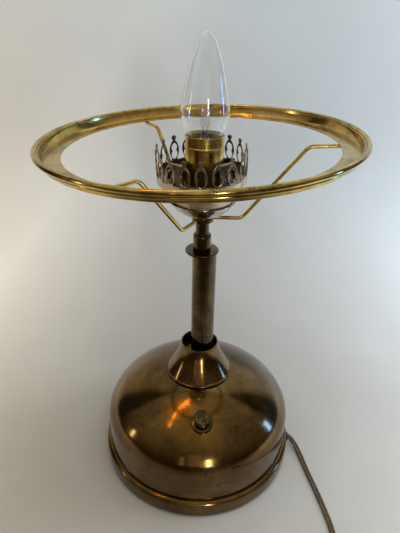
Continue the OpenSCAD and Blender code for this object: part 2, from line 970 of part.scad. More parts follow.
// Wedge-shaped boss that fits the dome's slope and carries the bushing
module switch_boss() {
    ease = 0.7;
    color("saddlebrown")
        difference() {
            on_switch_axis()
                rotate_extrude()
                    polygon([
                        [bushing_r + 0.05, -12],
                        [boss_r, -12],
                        [boss_r, -ease],
                        [boss_r - ease, 0],
                        [bushing_r + 0.05, 0]
                    ]);
            rotate_extrude()
                polygon(concat([[0, 0], [dome_r + 0.05, 0]], dome_arc(dome_r + 0.05, dome_rise + 0.05)));
        }
}

module switch_bushing() {
    color("goldenrod")
        on_switch_axis()
            tube(bushing_r, bushing_bore_r, switch_case_top, bushing_top);
}

module switch_lock_nut() {
    color("silver")
        on_switch_axis()
            translate([0, 0, switch_case_top + 0.2])
                hex_nut(13, 2, bushing_r + 0.05);
}

// Switch case, hollow for the spring and the end of the button's stem
module switch_body() {
    color("black")
        on_switch_axis()
            difference() {
                translate([0, 0, switch_case_top - switch_case_h])
                    cylinder(r = switch_case_r, h = switch_case_h);
                translate([0, 0, spring_bottom]) cylinder(r = 4.4, h = switch_case_top - spring_bottom + 1);
            }
}

module switch_terminals() {
    color("gold")
        on_switch_axis()
            for (s = [-1, 1])
                translate([s * terminal_gap - 1.5, -0.4, terminal_end])
                    cube([3, 0.8, terminal_h]);
}

// Return spring under the button's stem
module switch_spring() {
    turns = 5;
    r = 2.5;
    wire_d = 0.6;
    z0 = spring_bottom + wire_d / 2 + 0.02;
    rise = stem_end - spring_bottom - wire_d - 0.04;
    coil = [
        for (i = [0:turns * 16])
            let (a = 360 * i / 16) [r * cos(a), r * sin(a), z0 + rise * i / (turns * 16)]
    ];
    color("silver")
        on_switch_axis()
            sweep(coil, round_section(wire_d / 2, 6));
}

// Push button with a dimple, on a stem that slides in the bushing
module switch_button() {
    foot = button_gap;
    top = foot + button_h;
    color("saddlebrown")
        on_switch_axis()
            difference() {
                union() {
                    rotate_extrude()
                        polygon(concat(
                            [[0, foot], [button_r - 0.4, foot], [button_r, foot + 0.4]],
                            arc([button_r - 1.4, top - 1.4], 1.4, 0, 90, 6),
                            [[0, top]]
                        ));
                    translate([0, 0, stem_end]) cylinder(r = stem_r, h = foot - stem_end + 1);
                }
                translate([0, 0, top - 1]) cylinder(r1 = 1.2, r2 = 2.3, h = 1.1);
            }
}

// Rubber bush where the cord leaves the foot
module cord_bush() {
    flange_r = cord_hole_r + 0.9;
    flange_t = 1.5;
    length = 5;
    color("black")
        translate([foot_r - sheet - 2.1, cord_y, cord_z])
            rotate([0, 90, 0])
                difference() {
                    union() {
                        cylinder(r = cord_hole_r - 0.02, h = length);
                        cylinder(r = flange_r, h = flange_t);
                        translate([0, 0, length - flange_t]) cylinder(r = flange_r, h = flange_t);
                    }
                    translate([0, 0, -1]) cylinder(r = cord_w / 2 + 0.6, h = length + 2);
                }
}

// Cord from inside the foot, over the table and into the plug
module cord() {
    lay = cord_t / 2 + 0.1;
    path = [
        cord_end,
        [foot_r - 6, cord_y, cord_z],
        [foot_r + 3.2, cord_y, cord_z],
        [foot_r + 9.5, cord_y - 8, cord_z - 3],
        [foot_r + 14, cord_y - 22, lay + 0.9],
        [foot_r + 18, cord_y - 42, lay + 0.1],
        [foot_r + 24, -74, lay],
        [foot_r + 30, -112, lay],
        [plug_x, -152, lay + 1.2],
        [plug_x, plug_y + plug_l + 2, plug_z - 0.2],
        [plug_x, plug_y + plug_l - 2, plug_z],
        [plug_x, plug_y + plug_l - 4, plug_z]
    ];
    color("peru") sweep(spline(path, 5), twin_section(cord_w, cord_t));
}

// Plain two-blade plug, tapered towards the cord
module plug_body() {
    w = 24;
    h = 13;
    corner = 2;
    color("saddlebrown")
        translate([plug_x, plug_y, plug_z])
            rotate([-90, 0, 0])
                difference() {
                    hull() {
                        for (x = [corner - w / 2, w / 2 - corner], z = [corner - h / 2, h / 2 - corner])
                            translate([x, z, 0]) cylinder(r = corner, h = 12, $fn = 32);
                        translate([0, 0, plug_l - 3]) cylinder(r = 4.6, h = 3, $fn = 32);
                    }
                    translate([0, 0, plug_l - 5.4]) cylinder(r = cord_w / 2 + 0.3, h = 8);
                }
}

module plug_blades() {
    color("gold")
        for (s = [-1, 1])
            translate([plug_x + s * 6.35 - 0.75, plug_y - 17, plug_z - 3.175])
                cube([1.5, 17, 6.35]);
}

// Points at the end of a wire that meets a terminal of the switch
function switch_end(side) = [
    at_switch([side * terminal_gap, 0, terminal_end - 9]),
    at_switch([side * terminal_gap, 0, terminal_end - 0.6])
];

// Points of a wire inside the pipe and on to a terminal of the socket
function pipe_run(side) = [
    for (p = [
        [1.5, 9], [1.5, 60], [1.5, 180], [1.5, 280], [2.2, 290],
        [3.6, 293.4], [7.6, 295.2], [12.7, 296.2], [13.1, 298.9]
    ]) [side * p[0], 0, p[1]]
];

// Live conductor: cord to the first switch terminal
module live_wire() {
    color("black")
        wire(concat([
            cord_end + [-0.8, -1.4, 0],
            cord_end + [-12, -6, -0.6],
            [34, -27, 6.6],
            [28, -26, 12.6],
            [20, -31, 30]
        ], switch_end(1)), [0, 1, 0.3]);
}

// Switched conductor: second switch terminal, down through the plate and up the pipe to the socket
module switch_wire() {
    down = switch_end(-1);
    color("red")
        wire(concat([
            down[1],
            down[0],
            [12, -26, 27],
            [27, -23.6, 12.6],
            [22, -16, 6],
            [11, -4, 3.3],
            [3.4, -1, 3.2]
        ], pipe_run(1)), [0, 1, 0.01]);
}

// Neutral conductor: cord to the pipe and up to the socket's other terminal
module neutral_wire() {
    color("white")
        wire(concat([
            cord_end + [-0.8, 1.4, 0],
            cord_end + [-14, 5, -1.4],
            [24, 5, 3.6],
            [6, 2.6, 3.2],
            [-1, 1.6, 3.2]
        ], pipe_run(-1)), [0, 1, 0.01]);
}

foot_felt();
foot_ring();
bottom_plate();
clamp_washer();
lock_washer();
bottom_nut();
base_dome();
bell_collar();
column_seat();
column_tube();
column_washer();
column_disc();
neck_sleeve();
upper_coupling();
lamp_pipe();
spider_hub();
shade_arm_right();
shade_arm_back_left();
shade_arm_front_left();
shade_ring();
gallery_bowl();
gallery_crown();
gallery_nut();
chimney_seat();
gallery_clips();
socket_cap();
socket_base();
socket_contact();
screw_shell();
terminal_screws();
socket_liner();
socket_shell();
bulb_contact();
bulb_insulator();
bulb_cap();
bulb_stem();
bulb_filament();
bulb_glass();
switch_boss();
switch_bushing();
switch_lock_nut();
switch_body();
switch_terminals();
switch_spring();
switch_button();
cord_bush();
cord();
plug_body();
plug_blades();
live_wire();
neutral_wire();
switch_wire();
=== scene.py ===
import json
import math

import bmesh
import bpy
import numpy as np
from mathutils import Matrix, Vector


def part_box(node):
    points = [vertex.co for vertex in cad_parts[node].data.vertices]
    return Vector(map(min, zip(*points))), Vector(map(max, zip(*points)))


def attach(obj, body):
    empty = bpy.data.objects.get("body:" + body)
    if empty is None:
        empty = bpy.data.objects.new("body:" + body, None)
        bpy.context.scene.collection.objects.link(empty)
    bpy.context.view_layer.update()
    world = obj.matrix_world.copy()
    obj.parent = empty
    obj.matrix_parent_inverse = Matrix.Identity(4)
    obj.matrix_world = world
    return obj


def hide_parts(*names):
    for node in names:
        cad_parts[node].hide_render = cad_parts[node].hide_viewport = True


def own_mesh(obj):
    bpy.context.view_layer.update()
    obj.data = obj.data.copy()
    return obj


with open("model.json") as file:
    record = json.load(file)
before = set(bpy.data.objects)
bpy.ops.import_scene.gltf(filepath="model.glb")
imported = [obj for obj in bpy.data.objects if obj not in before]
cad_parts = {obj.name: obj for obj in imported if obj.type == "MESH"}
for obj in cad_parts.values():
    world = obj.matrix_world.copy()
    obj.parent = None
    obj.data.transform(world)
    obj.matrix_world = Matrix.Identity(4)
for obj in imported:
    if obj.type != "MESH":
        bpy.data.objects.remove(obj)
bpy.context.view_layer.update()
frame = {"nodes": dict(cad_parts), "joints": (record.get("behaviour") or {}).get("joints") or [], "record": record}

MM = 0.001
TURN = 2 * math.pi
ROUND = 224  # segments round a large turned piece
SLOT_OF = {s["node"]: s["material_slot"] for s in frame["record"]["subparts"]}
JOINTS = {j["name"]: j for j in frame["joints"]}


# ---------------------------------------------------------------- places taken from the frame
def radius(node):
    """Half the width of a CAD node along X."""
    lo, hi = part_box(node)
    return (hi.x - lo.x) / 2


def middle(node):
    lo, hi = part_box(node)
    return (lo + hi) / 2


def leaning(pivot, degrees, way=0.0, shift=0.0):
    """A piece's drawing frame, leaned about a pivot so that its side towards way goes up."""
    turn = Matrix.Rotation(math.radians(way), 4, "Z")
    lean = turn @ Matrix.Rotation(-math.radians(degrees), 4, "Y") @ turn.inverted()
    return (Matrix.Translation(pivot) @ lean @ Matrix.Translation(Vector((-shift, 0, 0)))
            @ Matrix.Translation(Vector((0, 0, -pivot[2]))))


# ---------------------------------------------------------------- geometry helpers
def arc(cx, cz, r, a0, a1, n=8):
    """Points of an arc, angles in degrees."""
    out = []
    for i in range(n + 1):
        a = math.radians(a0 + (a1 - a0) * i / n)
        out.append((cx + r * math.cos(a), cz + r * math.sin(a)))
    return out


def curve_through(points, n=10):
    """Catmull-Rom curve through points of any dimension."""
    pts = [np.array(p, float) for p in points]
    out = []
    for i in range(len(pts) - 1):
        a, b = pts[max(i - 1, 0)], pts[i]
        c, d = pts[i + 1], pts[min(i + 2, len(pts) - 1)]
        for j in range(n):
            t = j / n
            out.append(0.5 * (2 * b + (c - a) * t + (2 * a - 5 * b + 4 * c - d) * t * t
                              + (3 * b - a - 3 * c + d) * t * t * t))
    return out + [pts[-1]]


def smooth(mesh, crease=32):
    """Smooth shading, except over edges that turn by more than crease degrees."""
    mesh.polygons.foreach_set("use_smooth", [True] * len(mesh.polygons))
    mesh.set_sharp_from_angle(angle=math.radians(crease))


def make(name, verts, faces, crease=32, matrix=None):
    mesh = bpy.data.meshes.new(name)
    mesh.from_pydata([tuple(v) for v in verts], [], faces)
    mesh.validate()
    if matrix is not None:
        mesh.transform(matrix)
    mesh.update()
    smooth(mesh, crease)
    obj = bpy.data.objects.new(name, mesh)
    bpy.context.scene.collection.objects.link(obj)
    return obj


def turned(profile, segments=ROUND, closed=True, at=(0, 0), matrix=None):
    """Vertices and faces of a solid of revolution about Z through at."""
    verts, faces, rows = [], [], []
    for r, z in profile:
        if r < 1e-7:
            rows.append([len(verts)])
            verts.append((at[0], at[1], z))
        else:
            rows.append(list(range(len(verts), len(verts) + segments)))
            for j in range(segments):
                a = TURN * j / segments
                verts.append((at[0] + r * math.cos(a), at[1] + r * math.sin(a), z))
    pairs = list(zip(rows, rows[1:])) + ([(rows[-1], rows[0])] if closed else [])
    for low, high in pairs:
        for j in range(segments):
            k = (j + 1) % segments
            if len(low) == 1 and len(high) == 1:
                continue
            if len(low) == 1:
                faces.append((low[0], high[k], high[j]))
            elif len(high) == 1:
                faces.append((low[j], low[k], high[0]))
            else:
                faces.append((low[j], low[k], high[k], high[j]))
    if matrix is not None:
        verts = [tuple(matrix @ Vector(v)) for v in verts]
    return verts, faces


def swept(path, section, up, ends=True):
    """A section carried along a path, as vertices and faces."""
    pts = [Vector(p) for p in path]
    m, verts, faces = len(section), [], []
    for i, p in enumerate(pts):
        t = (pts[min(i + 1, len(pts) - 1)] - pts[max(i - 1, 0)]).normalized()
        side = t.cross(Vector(up)).normalized()
        top = side.cross(t)
        verts += [tuple(p + side * s[0] + top * s[1]) for s in section]
    for i in range(len(pts) - 1):
        for j in range(m):
            k = (j + 1) % m
            faces.append((i * m + j, i * m + k, (i + 1) * m + k, (i + 1) * m + j))
    if ends:
        faces.append(tuple(range(m - 1, -1, -1)))
        faces.append(tuple((len(pts) - 1) * m + j for j in range(m)))
    return verts, faces


def disc_section(r, n=16):
    return [(r * math.cos(TURN * j / n), r * math.sin(TURN * j / n)) for j in range(n)]


def merged(parts):
    """Several (vertices, faces) as one."""
    verts, faces = [], []
    for v, f in parts:
        base = len(verts)
        verts += list(v)
        faces += [tuple(base + i for i in face) for face in f]
    return verts, faces


def out_facing(obj):
    """Turns a closed piece's faces outwards."""
    bm = bmesh.new()
    bm.from_mesh(obj.data)
    bmesh.ops.recalc_face_normals(bm, faces=bm.faces)
    bm.to_mesh(obj.data)
    bm.free()
    return obj


# ---------------------------------------------------------------- materials
class Paint:
    """A node material under construction."""

    def __init__(self, name):
        self.mat = bpy.data.materials.new(name)
        self.mat.use_nodes = True
        self.tree = self.mat.node_tree
        self.bsdf = next(n for n in self.tree.nodes if n.type == "BSDF_PRINCIPLED")
        self.out = next(n for n in self.tree.nodes if n.type == "OUTPUT_MATERIAL")
        self.object_co = self.node("ShaderNodeTexCoord").outputs["Object"]

    def node(self, kind, **props):
        n = self.tree.nodes.new(kind)
        for key, value in props.items():
            setattr(n, key, value)
        return n

    def link(self, a, b):
        self.tree.links.new(a, b)

    def put(self, socket, value):
        if isinstance(value, bpy.types.NodeSocket):
            self.link(value, socket)
        elif value is not None:
            socket.default_value = value

    def sum(self, op, a, b=None, clamp=False):
        n = self.node("ShaderNodeMath", operation=op, use_clamp=clamp)
        self.put(n.inputs[0], a)
        self.put(n.inputs[1], b)
        return n.outputs[0]

    def scaled(self, scale, co=None, offset=(0, 0, 0)):
        n = self.node("ShaderNodeMapping")
        self.link(co or self.object_co, n.inputs["Vector"])
        n.inputs["Scale"].default_value = scale
        n.inputs["Location"].default_value = offset
        return n.outputs[0]

    def spun(self, across, along, sign=-1):
        """Coordinates that run fast across a turned surface and slowly round it."""
        parts = self.node("ShaderNodeSeparateXYZ")
        self.link(self.object_co, parts.inputs[0])
        x, y, z = parts.outputs
        r = self.sum("SQRT", self.sum("ADD", self.sum("MULTIPLY", x, x), self.sum("MULTIPLY", y, y)))
        r = self.sum("MAXIMUM", r, 0.0005)
        join = self.node("ShaderNodeCombineXYZ")
        self.put(join.inputs[0], self.sum("MULTIPLY", self.sum("DIVIDE", x, r), along))
        self.put(join.inputs[1], self.sum("MULTIPLY", self.sum("DIVIDE", y, r), along))
        lap = self.sum("ADD", z, self.sum("MULTIPLY", r, sign))
        self.put(join.inputs[2], self.sum("MULTIPLY", lap, across))
        return join.outputs[0]

    def noise(self, co, scale=1.0, detail=4.0, rough=0.55, warp=0.0):
        n = self.node("ShaderNodeTexNoise")
        self.put(n.inputs["Vector"], co)
        n.inputs["Scale"].default_value = scale
        n.inputs["Detail"].default_value = detail
        n.inputs["Roughness"].default_value = rough
        n.inputs["Distortion"].default_value = warp
        return n.outputs[0]

    def ramp(self, fac, *stops):
        n = self.node("ShaderNodeValToRGB")
        self.link(fac, n.inputs[0])
        ramp = n.color_ramp
        while len(ramp.elements) < len(stops):
            ramp.elements.new(0.5)
        for e, (pos, colour) in zip(ramp.elements, stops):
            e.position = pos
            if isinstance(colour, (int, float)):
                colour = (colour, colour, colour)
            e.color = (*colour, 1)
        return n.outputs[0]

    def mix(self, fac, a, b, mode="MIX"):
        n = self.node("ShaderNodeMix", data_type="RGBA", blend_type=mode)
        self.put(n.inputs[0], fac)
        for socket, value in ((n.inputs[6], a), (n.inputs[7], b)):
            self.put(socket, (*value, 1) if isinstance(value, tuple) and len(value) == 3 else value)
        return n.outputs[2]

    def near(self, point, inner, outer):
        """1 within inner of a point, falling to 0 at outer."""
        away = self.node("ShaderNodeVectorMath", operation="DISTANCE")
        self.link(self.object_co, away.inputs[0])
        away.inputs[1].default_value = point
        n = self.node("ShaderNodeMapRange", interpolation_type="SMOOTHSTEP")
        self.link(away.outputs["Value"], n.inputs[0])
        n.inputs[1].default_value = outer
        n.inputs[2].default_value = inner
        return n.outputs[0]

    def bump(self, height, strength, distance=0.0002):
        n = self.node("ShaderNodeBump")
        n.inputs["Strength"].default_value = strength
        n.inputs["Distance"].default_value = distance
        self.link(height, n.inputs["Height"])
        if self.bsdf.inputs["Normal"].is_linked:
            self.link(self.bsdf.inputs["Normal"].links[0].from_socket, n.inputs["Normal"])
        self.link(n.outputs[0], self.bsdf.inputs["Normal"])

    def finish(self, colour, rough, metal=0.0, **more):
        self.put(self.bsdf.inputs["Base Color"], (*colour, 1) if isinstance(colour, tuple) else colour)
        self.put(self.bsdf.inputs["Roughness"], rough)
        self.bsdf.inputs["Metallic"].default_value = metal
        for key, value in more.items():
            self.put(self.bsdf.inputs[key.replace("_", " ")], value)
        return self.mat


def metal(name, dark, mid, light, rough=(0.2, 0.42), spin=(900, 1.2), sign=-1, blotch=26, spots=0.0,
          grain=0.16, glow=None, wave=0.0, seed=0.0, lacquer=0.0):
    """Aged metal: blotches of patina, spun streaks, fine spots, and a soft unevenness in its shine. Where glow is
    given, a painted warm reflection is mixed into the colour near a point.
    """
    p = Paint(name)
    base = p.scaled((1, 1, 1), offset=(seed, seed * 0.7, seed * 1.3))
    patch = p.noise(base, blotch, 5, 0.62, 0.6)
    fine = p.noise(base, blotch * 11, 4, 0.6)
    streak = p.noise(p.spun(spin[0], spin[1], sign), 1, 3, 0.6)
    tone = p.sum("ADD", p.sum("MULTIPLY", patch, 0.82 - grain), p.sum("MULTIPLY", fine, grain))
    tone = p.sum("ADD", tone, p.sum("MULTIPLY", streak, 0.18))
    colour = p.ramp(tone, (0.34, dark), (0.5, mid), (0.68, light))
    # Painted reflection: a warm golden patch mixed into the colour near a point, patchy with the patina
    if glow:
        point, inner, outer, tint = glow
        mask = p.sum("MULTIPLY", p.near(point, inner, outer), p.ramp(patch, (0.3, 0.25), (0.62, 1.0)))
        colour = p.mix(mask, colour, tint)
    if spots:
        speck = p.noise(base, blotch * 5.5, 3, 0.7, 0.4)
        mask = p.sum("MULTIPLY", p.ramp(speck, (0.6, 0.0), (0.68, 1.0)), spots)
        colour = p.mix(mask, colour, tuple(c * 0.3 for c in dark))
    spread = p.node("ShaderNodeMapRange")
    p.link(p.sum("ADD", p.sum("MULTIPLY", fine, 0.5), p.sum("MULTIPLY", streak, 0.5)), spread.inputs[0])
    spread.inputs[1].default_value, spread.inputs[2].default_value = 0.3, 0.7
    spread.inputs[3].default_value, spread.inputs[4].default_value = rough
    p.bump(streak, 0.1, 0.00006)
    p.bump(fine, grain, 0.0001)
    if wave:
        p.bump(p.noise(base, 38, 2, 0.4), wave, 0.0016)
    return p.finish(colour, spread.outputs[0], 1.0, Coat_Weight=lacquer, Coat_Roughness=0.07)


def dull(name, dark, light, rough=(0.5, 0.8), scale=160, grain=0.25, deep=0.0002, **more):
    """A non-metal with mottled colour, grain and uneven roughness."""
    p = Paint(name)
    tone = p.noise(p.object_co, scale, 4, 0.6)
    fine = p.noise(p.object_co, scale * 9, 3, 0.6)
    colour = p.ramp(tone, (0.36, dark), (0.64, light))
    spread = p.ramp(fine, (0.35, rough[0]), (0.65, rough[1]))
    p.bump(fine, grain, deep)
    return p.finish(colour, spread, **more)


def glass(name, tint, dust=0.04):
    """Clear glass with a trace of dust; it lets light through to what is behind it."""
    p = Paint(name)
    film = p.noise(p.object_co, 90, 4, 0.7)
    p.finish(p.ramp(film, (0.3, tint), (0.7, (1, 1, 1))), p.ramp(film, (0.4, 0.0), (0.75, dust)))
    p.bsdf.inputs["Transmission Weight"].default_value = 1
    p.bsdf.inputs["IOR"].default_value = 1.47
    clear = p.node("ShaderNodeBsdfTransparent")
    light = p.node("ShaderNodeLightPath")
    either = p.sum("MAXIMUM", light.outputs["Is Shadow Ray"], light.outputs["Is Diffuse Ray"])
    join = p.node("ShaderNodeMixShader")
    p.link(p.sum("MULTIPLY", either, 0.9), join.inputs[0])
    p.link(p.bsdf.outputs[0], join.inputs[1])
    p.link(clear.outputs[0], join.inputs[2])
    p.link(join.outputs[0], p.out.inputs[0])
    return p.mat


button_at = middle("switch_button")
FINISH = {
    "aged_brass": metal(
        "aged_brass", (0.055, 0.027, 0.004), (0.125, 0.066, 0.012), (0.22, 0.135, 0.038),
        rough=(0.1, 0.21), spots=0.6, grain=0.08, wave=0.08, lacquer=0.3,
        # Painted reflection: a warm golden patch on the dome beside the switch button, standing in for reflected warm
        # light
        glow=(tuple(button_at + Vector((-12, 4, 2)) * MM), 12 * MM, 40 * MM, (0.26, 0.125, 0.014))),
    "ring_brass": metal(
        "ring_brass", (0.12, 0.072, 0.017), (0.54, 0.37, 0.10), (0.84, 0.63, 0.23),
        rough=(0.07, 0.2), spin=(900, 2.2), blotch=26, spots=0.7, grain=0.08, wave=0.12, seed=2.0),
    "dark_bronze": metal(
        "dark_bronze", (0.028, 0.017, 0.005), (0.075, 0.048, 0.014), (0.18, 0.125, 0.05),
        rough=(0.14, 0.3), spin=(500, 2), blotch=60, grain=0.08, seed=4.0, lacquer=0.3),
    "switch_brass": metal(
        "switch_brass", (0.030, 0.019, 0.005), (0.075, 0.047, 0.012), (0.15, 0.10, 0.03),
        rough=(0.16, 0.3), blotch=120, grain=0.1, seed=5.0, lacquer=0.25),
    "bright_brass": metal(
        "bright_brass", (0.50, 0.32, 0.055), (0.72, 0.50, 0.11), (0.84, 0.62, 0.18),
        rough=(0.16, 0.26), spin=(400, 1.5), blotch=30, spots=0.1, grain=0.02, seed=6.0),
    "contact_brass": metal(
        "contact_brass", (0.42, 0.28, 0.08), (0.60, 0.43, 0.15), (0.76, 0.58, 0.25),
        rough=(0.2, 0.4), blotch=90, seed=8.0),
    "nickel": metal(
        "nickel", (0.50, 0.48, 0.44), (0.66, 0.65, 0.62), (0.78, 0.77, 0.75),
        rough=(0.05, 0.14), spin=(900, 2), sign=1, blotch=70, spots=0.15, grain=0.06, seed=10.0),
    "tarnished_nickel": metal(
        "tarnished_nickel", (0.14, 0.105, 0.06), (0.40, 0.325, 0.21), (0.66, 0.59, 0.46),
        rough=(0.14, 0.3), blotch=40, spots=0.35, grain=0.04, seed=12.0),
    "zinc_steel": metal(
        "zinc_steel", (0.32, 0.32, 0.31), (0.50, 0.50, 0.49), (0.62, 0.62, 0.61),
        rough=(0.28, 0.5), blotch=120, seed=14.0),
    "spring_steel": metal(
        "spring_steel", (0.28, 0.28, 0.28), (0.42, 0.42, 0.41), (0.56, 0.56, 0.55),
        rough=(0.22, 0.4), blotch=160, seed=16.0),
    "bulb_cap_metal": metal(
        "bulb_cap_metal", (0.52, 0.52, 0.50), (0.68, 0.68, 0.66), (0.78, 0.78, 0.77),
        rough=(0.18, 0.34), blotch=120, seed=18.0),
    "solder": metal(
        "solder", (0.34, 0.34, 0.34), (0.46, 0.46, 0.45), (0.60, 0.60, 0.58),
        rough=(0.35, 0.6), blotch=300, seed=20.0),
    "filament_wire": metal(
        "filament_wire", (0.22, 0.20, 0.18), (0.36, 0.34, 0.31), (0.52, 0.50, 0.47),
        rough=(0.25, 0.45), blotch=400, seed=22.0),
    "felt": dull("felt", (0.012, 0.030, 0.014), (0.030, 0.062, 0.030), (0.85, 1.0), 700, 0.9, 0.0005),
    "plate_paint": dull("plate_paint", (0.010, 0.009, 0.008), (0.024, 0.022, 0.019), (0.35, 0.6)),
    "bakelite": dull("bakelite", (0.010, 0.007, 0.005), (0.026, 0.018, 0.013), (0.25, 0.5), 220),
    # The liner's dark brown is partly its fibre colour and partly painted shade for the dark inside of the socket's
    # mouth
    "liner_board": dull("liner_board", (0.045, 0.030, 0.018), (0.095, 0.068, 0.04), (0.75, 0.95), 500, 0.6),
    "black_glass": dull("black_glass", (0.006, 0.006, 0.008), (0.014, 0.013, 0.016), (0.05, 0.2), 300, 0.1),
    "bush_rubber": dull("bush_rubber", (0.010, 0.009, 0.008), (0.022, 0.020, 0.018), (0.5, 0.75), 400),
    "plug_brown": dull("plug_brown", (0.030, 0.014, 0.006), (0.055, 0.028, 0.012), (0.3, 0.55), 260),
    "live_black": dull("live_black", (0.008, 0.008, 0.008), (0.018, 0.017, 0.016), (0.35, 0.55), 500),
    "neutral_white": dull("neutral_white", (0.50, 0.48, 0.42), (0.66, 0.64, 0.58), (0.35, 0.55), 500),
    "switch_red": dull("switch_red", (0.30, 0.018, 0.012), (0.44, 0.034, 0.022), (0.35, 0.55), 500),
    "cord_brown": dull(
        "cord_brown", (0.045, 0.026, 0.009), (0.12, 0.076, 0.028), (0.22, 0.42), 420, 0.2,
        Coat_Weight=0.4, Coat_Roughness=0.2),
    "bulb_glass": glass("bulb_glass", (0.97, 0.985, 0.985)),
    "stem_glass": glass("stem_glass", (0.93, 0.96, 0.96), 0.08),
}
for node, obj in frame["nodes"].items():
    obj.data.materials.clear()
    obj.data.materials.append(FINISH[SLOT_OF[node]])
    smooth(obj.data, 25)


def piece(name, data, nodes, body="lamp", crease=32, finish=None):
    """A shown piece that stands for some CAD nodes."""
    obj = out_facing(make(name, data[0], data[1], crease))
    smooth(obj.data, crease)
    slot = SLOT_OF[nodes[0]]
    obj.data.materials.append(FINISH[finish or slot])
    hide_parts(*nodes)
    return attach(obj, body)


# ---------------------------------------------------------------- foot, dome, collar
SHEET = 1.0 * MM
foot_lo, foot_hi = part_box("foot_ring")
dome_lo, dome_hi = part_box("base_dome")
foot_r = radius("foot_ring")
dome_r = radius("base_dome")
foot_foot = foot_lo.z
shoulder_r = foot_r - dome_r - 0.1 * MM
shoulder_z = foot_hi.z - shoulder_r
TOE = 2.0 * MM
FLANGE = 13 * MM
piece("foot_ring_visual", turned(
    [(foot_r - FLANGE, foot_foot)]
    + arc(foot_r - TOE, foot_foot + TOE, TOE, -90, 0, 7)
    + arc(foot_r - shoulder_r, shoulder_z, shoulder_r, 0, 90, 10)
    + arc(foot_r - shoulder_r, shoulder_z, shoulder_r - SHEET, 90, 0, 8)
    + arc(foot_r - TOE, foot_foot + TOE, TOE - SHEET, 0, -90, 5)
    + [(foot_r - FLANGE, foot_foot + SHEET)]), ["foot_ring"])

DOME_POWER = 1.787
WALL_H = 51.5 * MM


def dome_profile(r, rise, n=72):
    out = []
    for i in range(n + 1):
        a = math.pi / 2 * i / n
        out.append((r * max(math.cos(a), 0) ** (2 / DOME_POWER), WALL_H + rise * math.sin(a) ** (2 / DOME_POWER)))
    return out


def dome_z(r):
    """Height of the dome's outside at a distance from the axis."""
    return WALL_H + dome_rise * (1 - (r / dome_r) ** DOME_POWER) ** (1 / DOME_POWER)


pipe_r = radius("lamp_pipe")
dome_rise = 0.0
hole_r = pipe_r + 0.1 * MM
# The dome's top is cut by the pipe's hole: the rise that brings the profile there to the box's top
dome_rise = (dome_hi.z - WALL_H) / (1 - (hole_r / dome_r) ** DOME_POWER) ** (1 / DOME_POWER)


def until_hole(profile):
    out = [p for p in profile if p[0] > hole_r]
    return out + [(hole_r, profile[-1][1] if not out else out[-1][1])]


outer = until_hole(dome_profile(dome_r, dome_rise))
inner = until_hole(dome_profile(dome_r - SHEET, dome_rise - SHEET))
dome = piece("base_dome_visual", turned(
    [(dome_r - SHEET, dome_lo.z), (dome_r, dome_lo.z)] + outer + inner[::-1]), ["base_dome"])

collar_lo, collar_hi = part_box("bell_collar")
collar_r = radius("bell_collar")
mouth_r = collar_r - 16 * MM
COLLAR_BEAD = 1.2 * MM
bead_x = collar_r - COLLAR_BEAD
bead_z = collar_lo.z + COLLAR_BEAD
flare_foot = bead_z + COLLAR_BEAD
flare = bead_x - 0.7 * MM - mouth_r
STEPS = 44
bell = []
for i in range(STEPS + 1):
    u = i / STEPS
    bell.append((mouth_r + flare * u ** 1.5, collar_hi.z - (collar_hi.z - flare_foot) * u))
lip = arc(mouth_r - SHEET / 2, collar_hi.z - SHEET / 2, SHEET / 2, 180, 0, 6)
piece("bell_collar_visual", turned(
    lip[:-1] + bell + arc(bead_x, bead_z, COLLAR_BEAD, 60, -240, 16)
    + [(r - SHEET, z) for r, z in bell[:0:-1]]), ["bell_collar"], crease=40)

# ---------------------------------------------------------------- column
tube_mid = middle("column_tube")
tube_lo, tube_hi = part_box("column_tube")
tube_r = radius("column_tube")
tube_at = (tube_mid.x, tube_mid.y)
EASE = 0.35 * MM
piece("column_tube_visual", turned(
    [(tube_r - SHEET, tube_lo.z), (tube_r, tube_lo.z), (tube_r, tube_hi.z - 1.9 * MM)]
    + [(tube_r - 0.18 * MM, tube_hi.z - 1.7 * MM), (tube_r - 0.18 * MM, tube_hi.z - 1.3 * MM)]
    + [(tube_r, tube_hi.z - 1.1 * MM), (tube_r, tube_hi.z - EASE), (tube_r - EASE, tube_hi.z)]
    + [(tube_r - SHEET, tube_hi.z)], at=tube_at), ["column_tube"])


def rounded_disc(node, name, bore, ease, n=6, crease=32):
    """A flat turned ring with its two outer edges rounded."""
    lo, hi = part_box(node)
    r, mid = radius(node), middle(node)
    ease = min(ease, (hi.z - lo.z) / 2)
    profile = [(bore, lo.z)] + arc(r - ease, lo.z + ease, ease, -90, 0, n)
    profile += arc(r - ease, hi.z - ease, ease, 0, 90, n) + [(bore, hi.z)]
    return piece(name, turned(profile, at=(mid.x, mid.y)), [node], crease=crease)


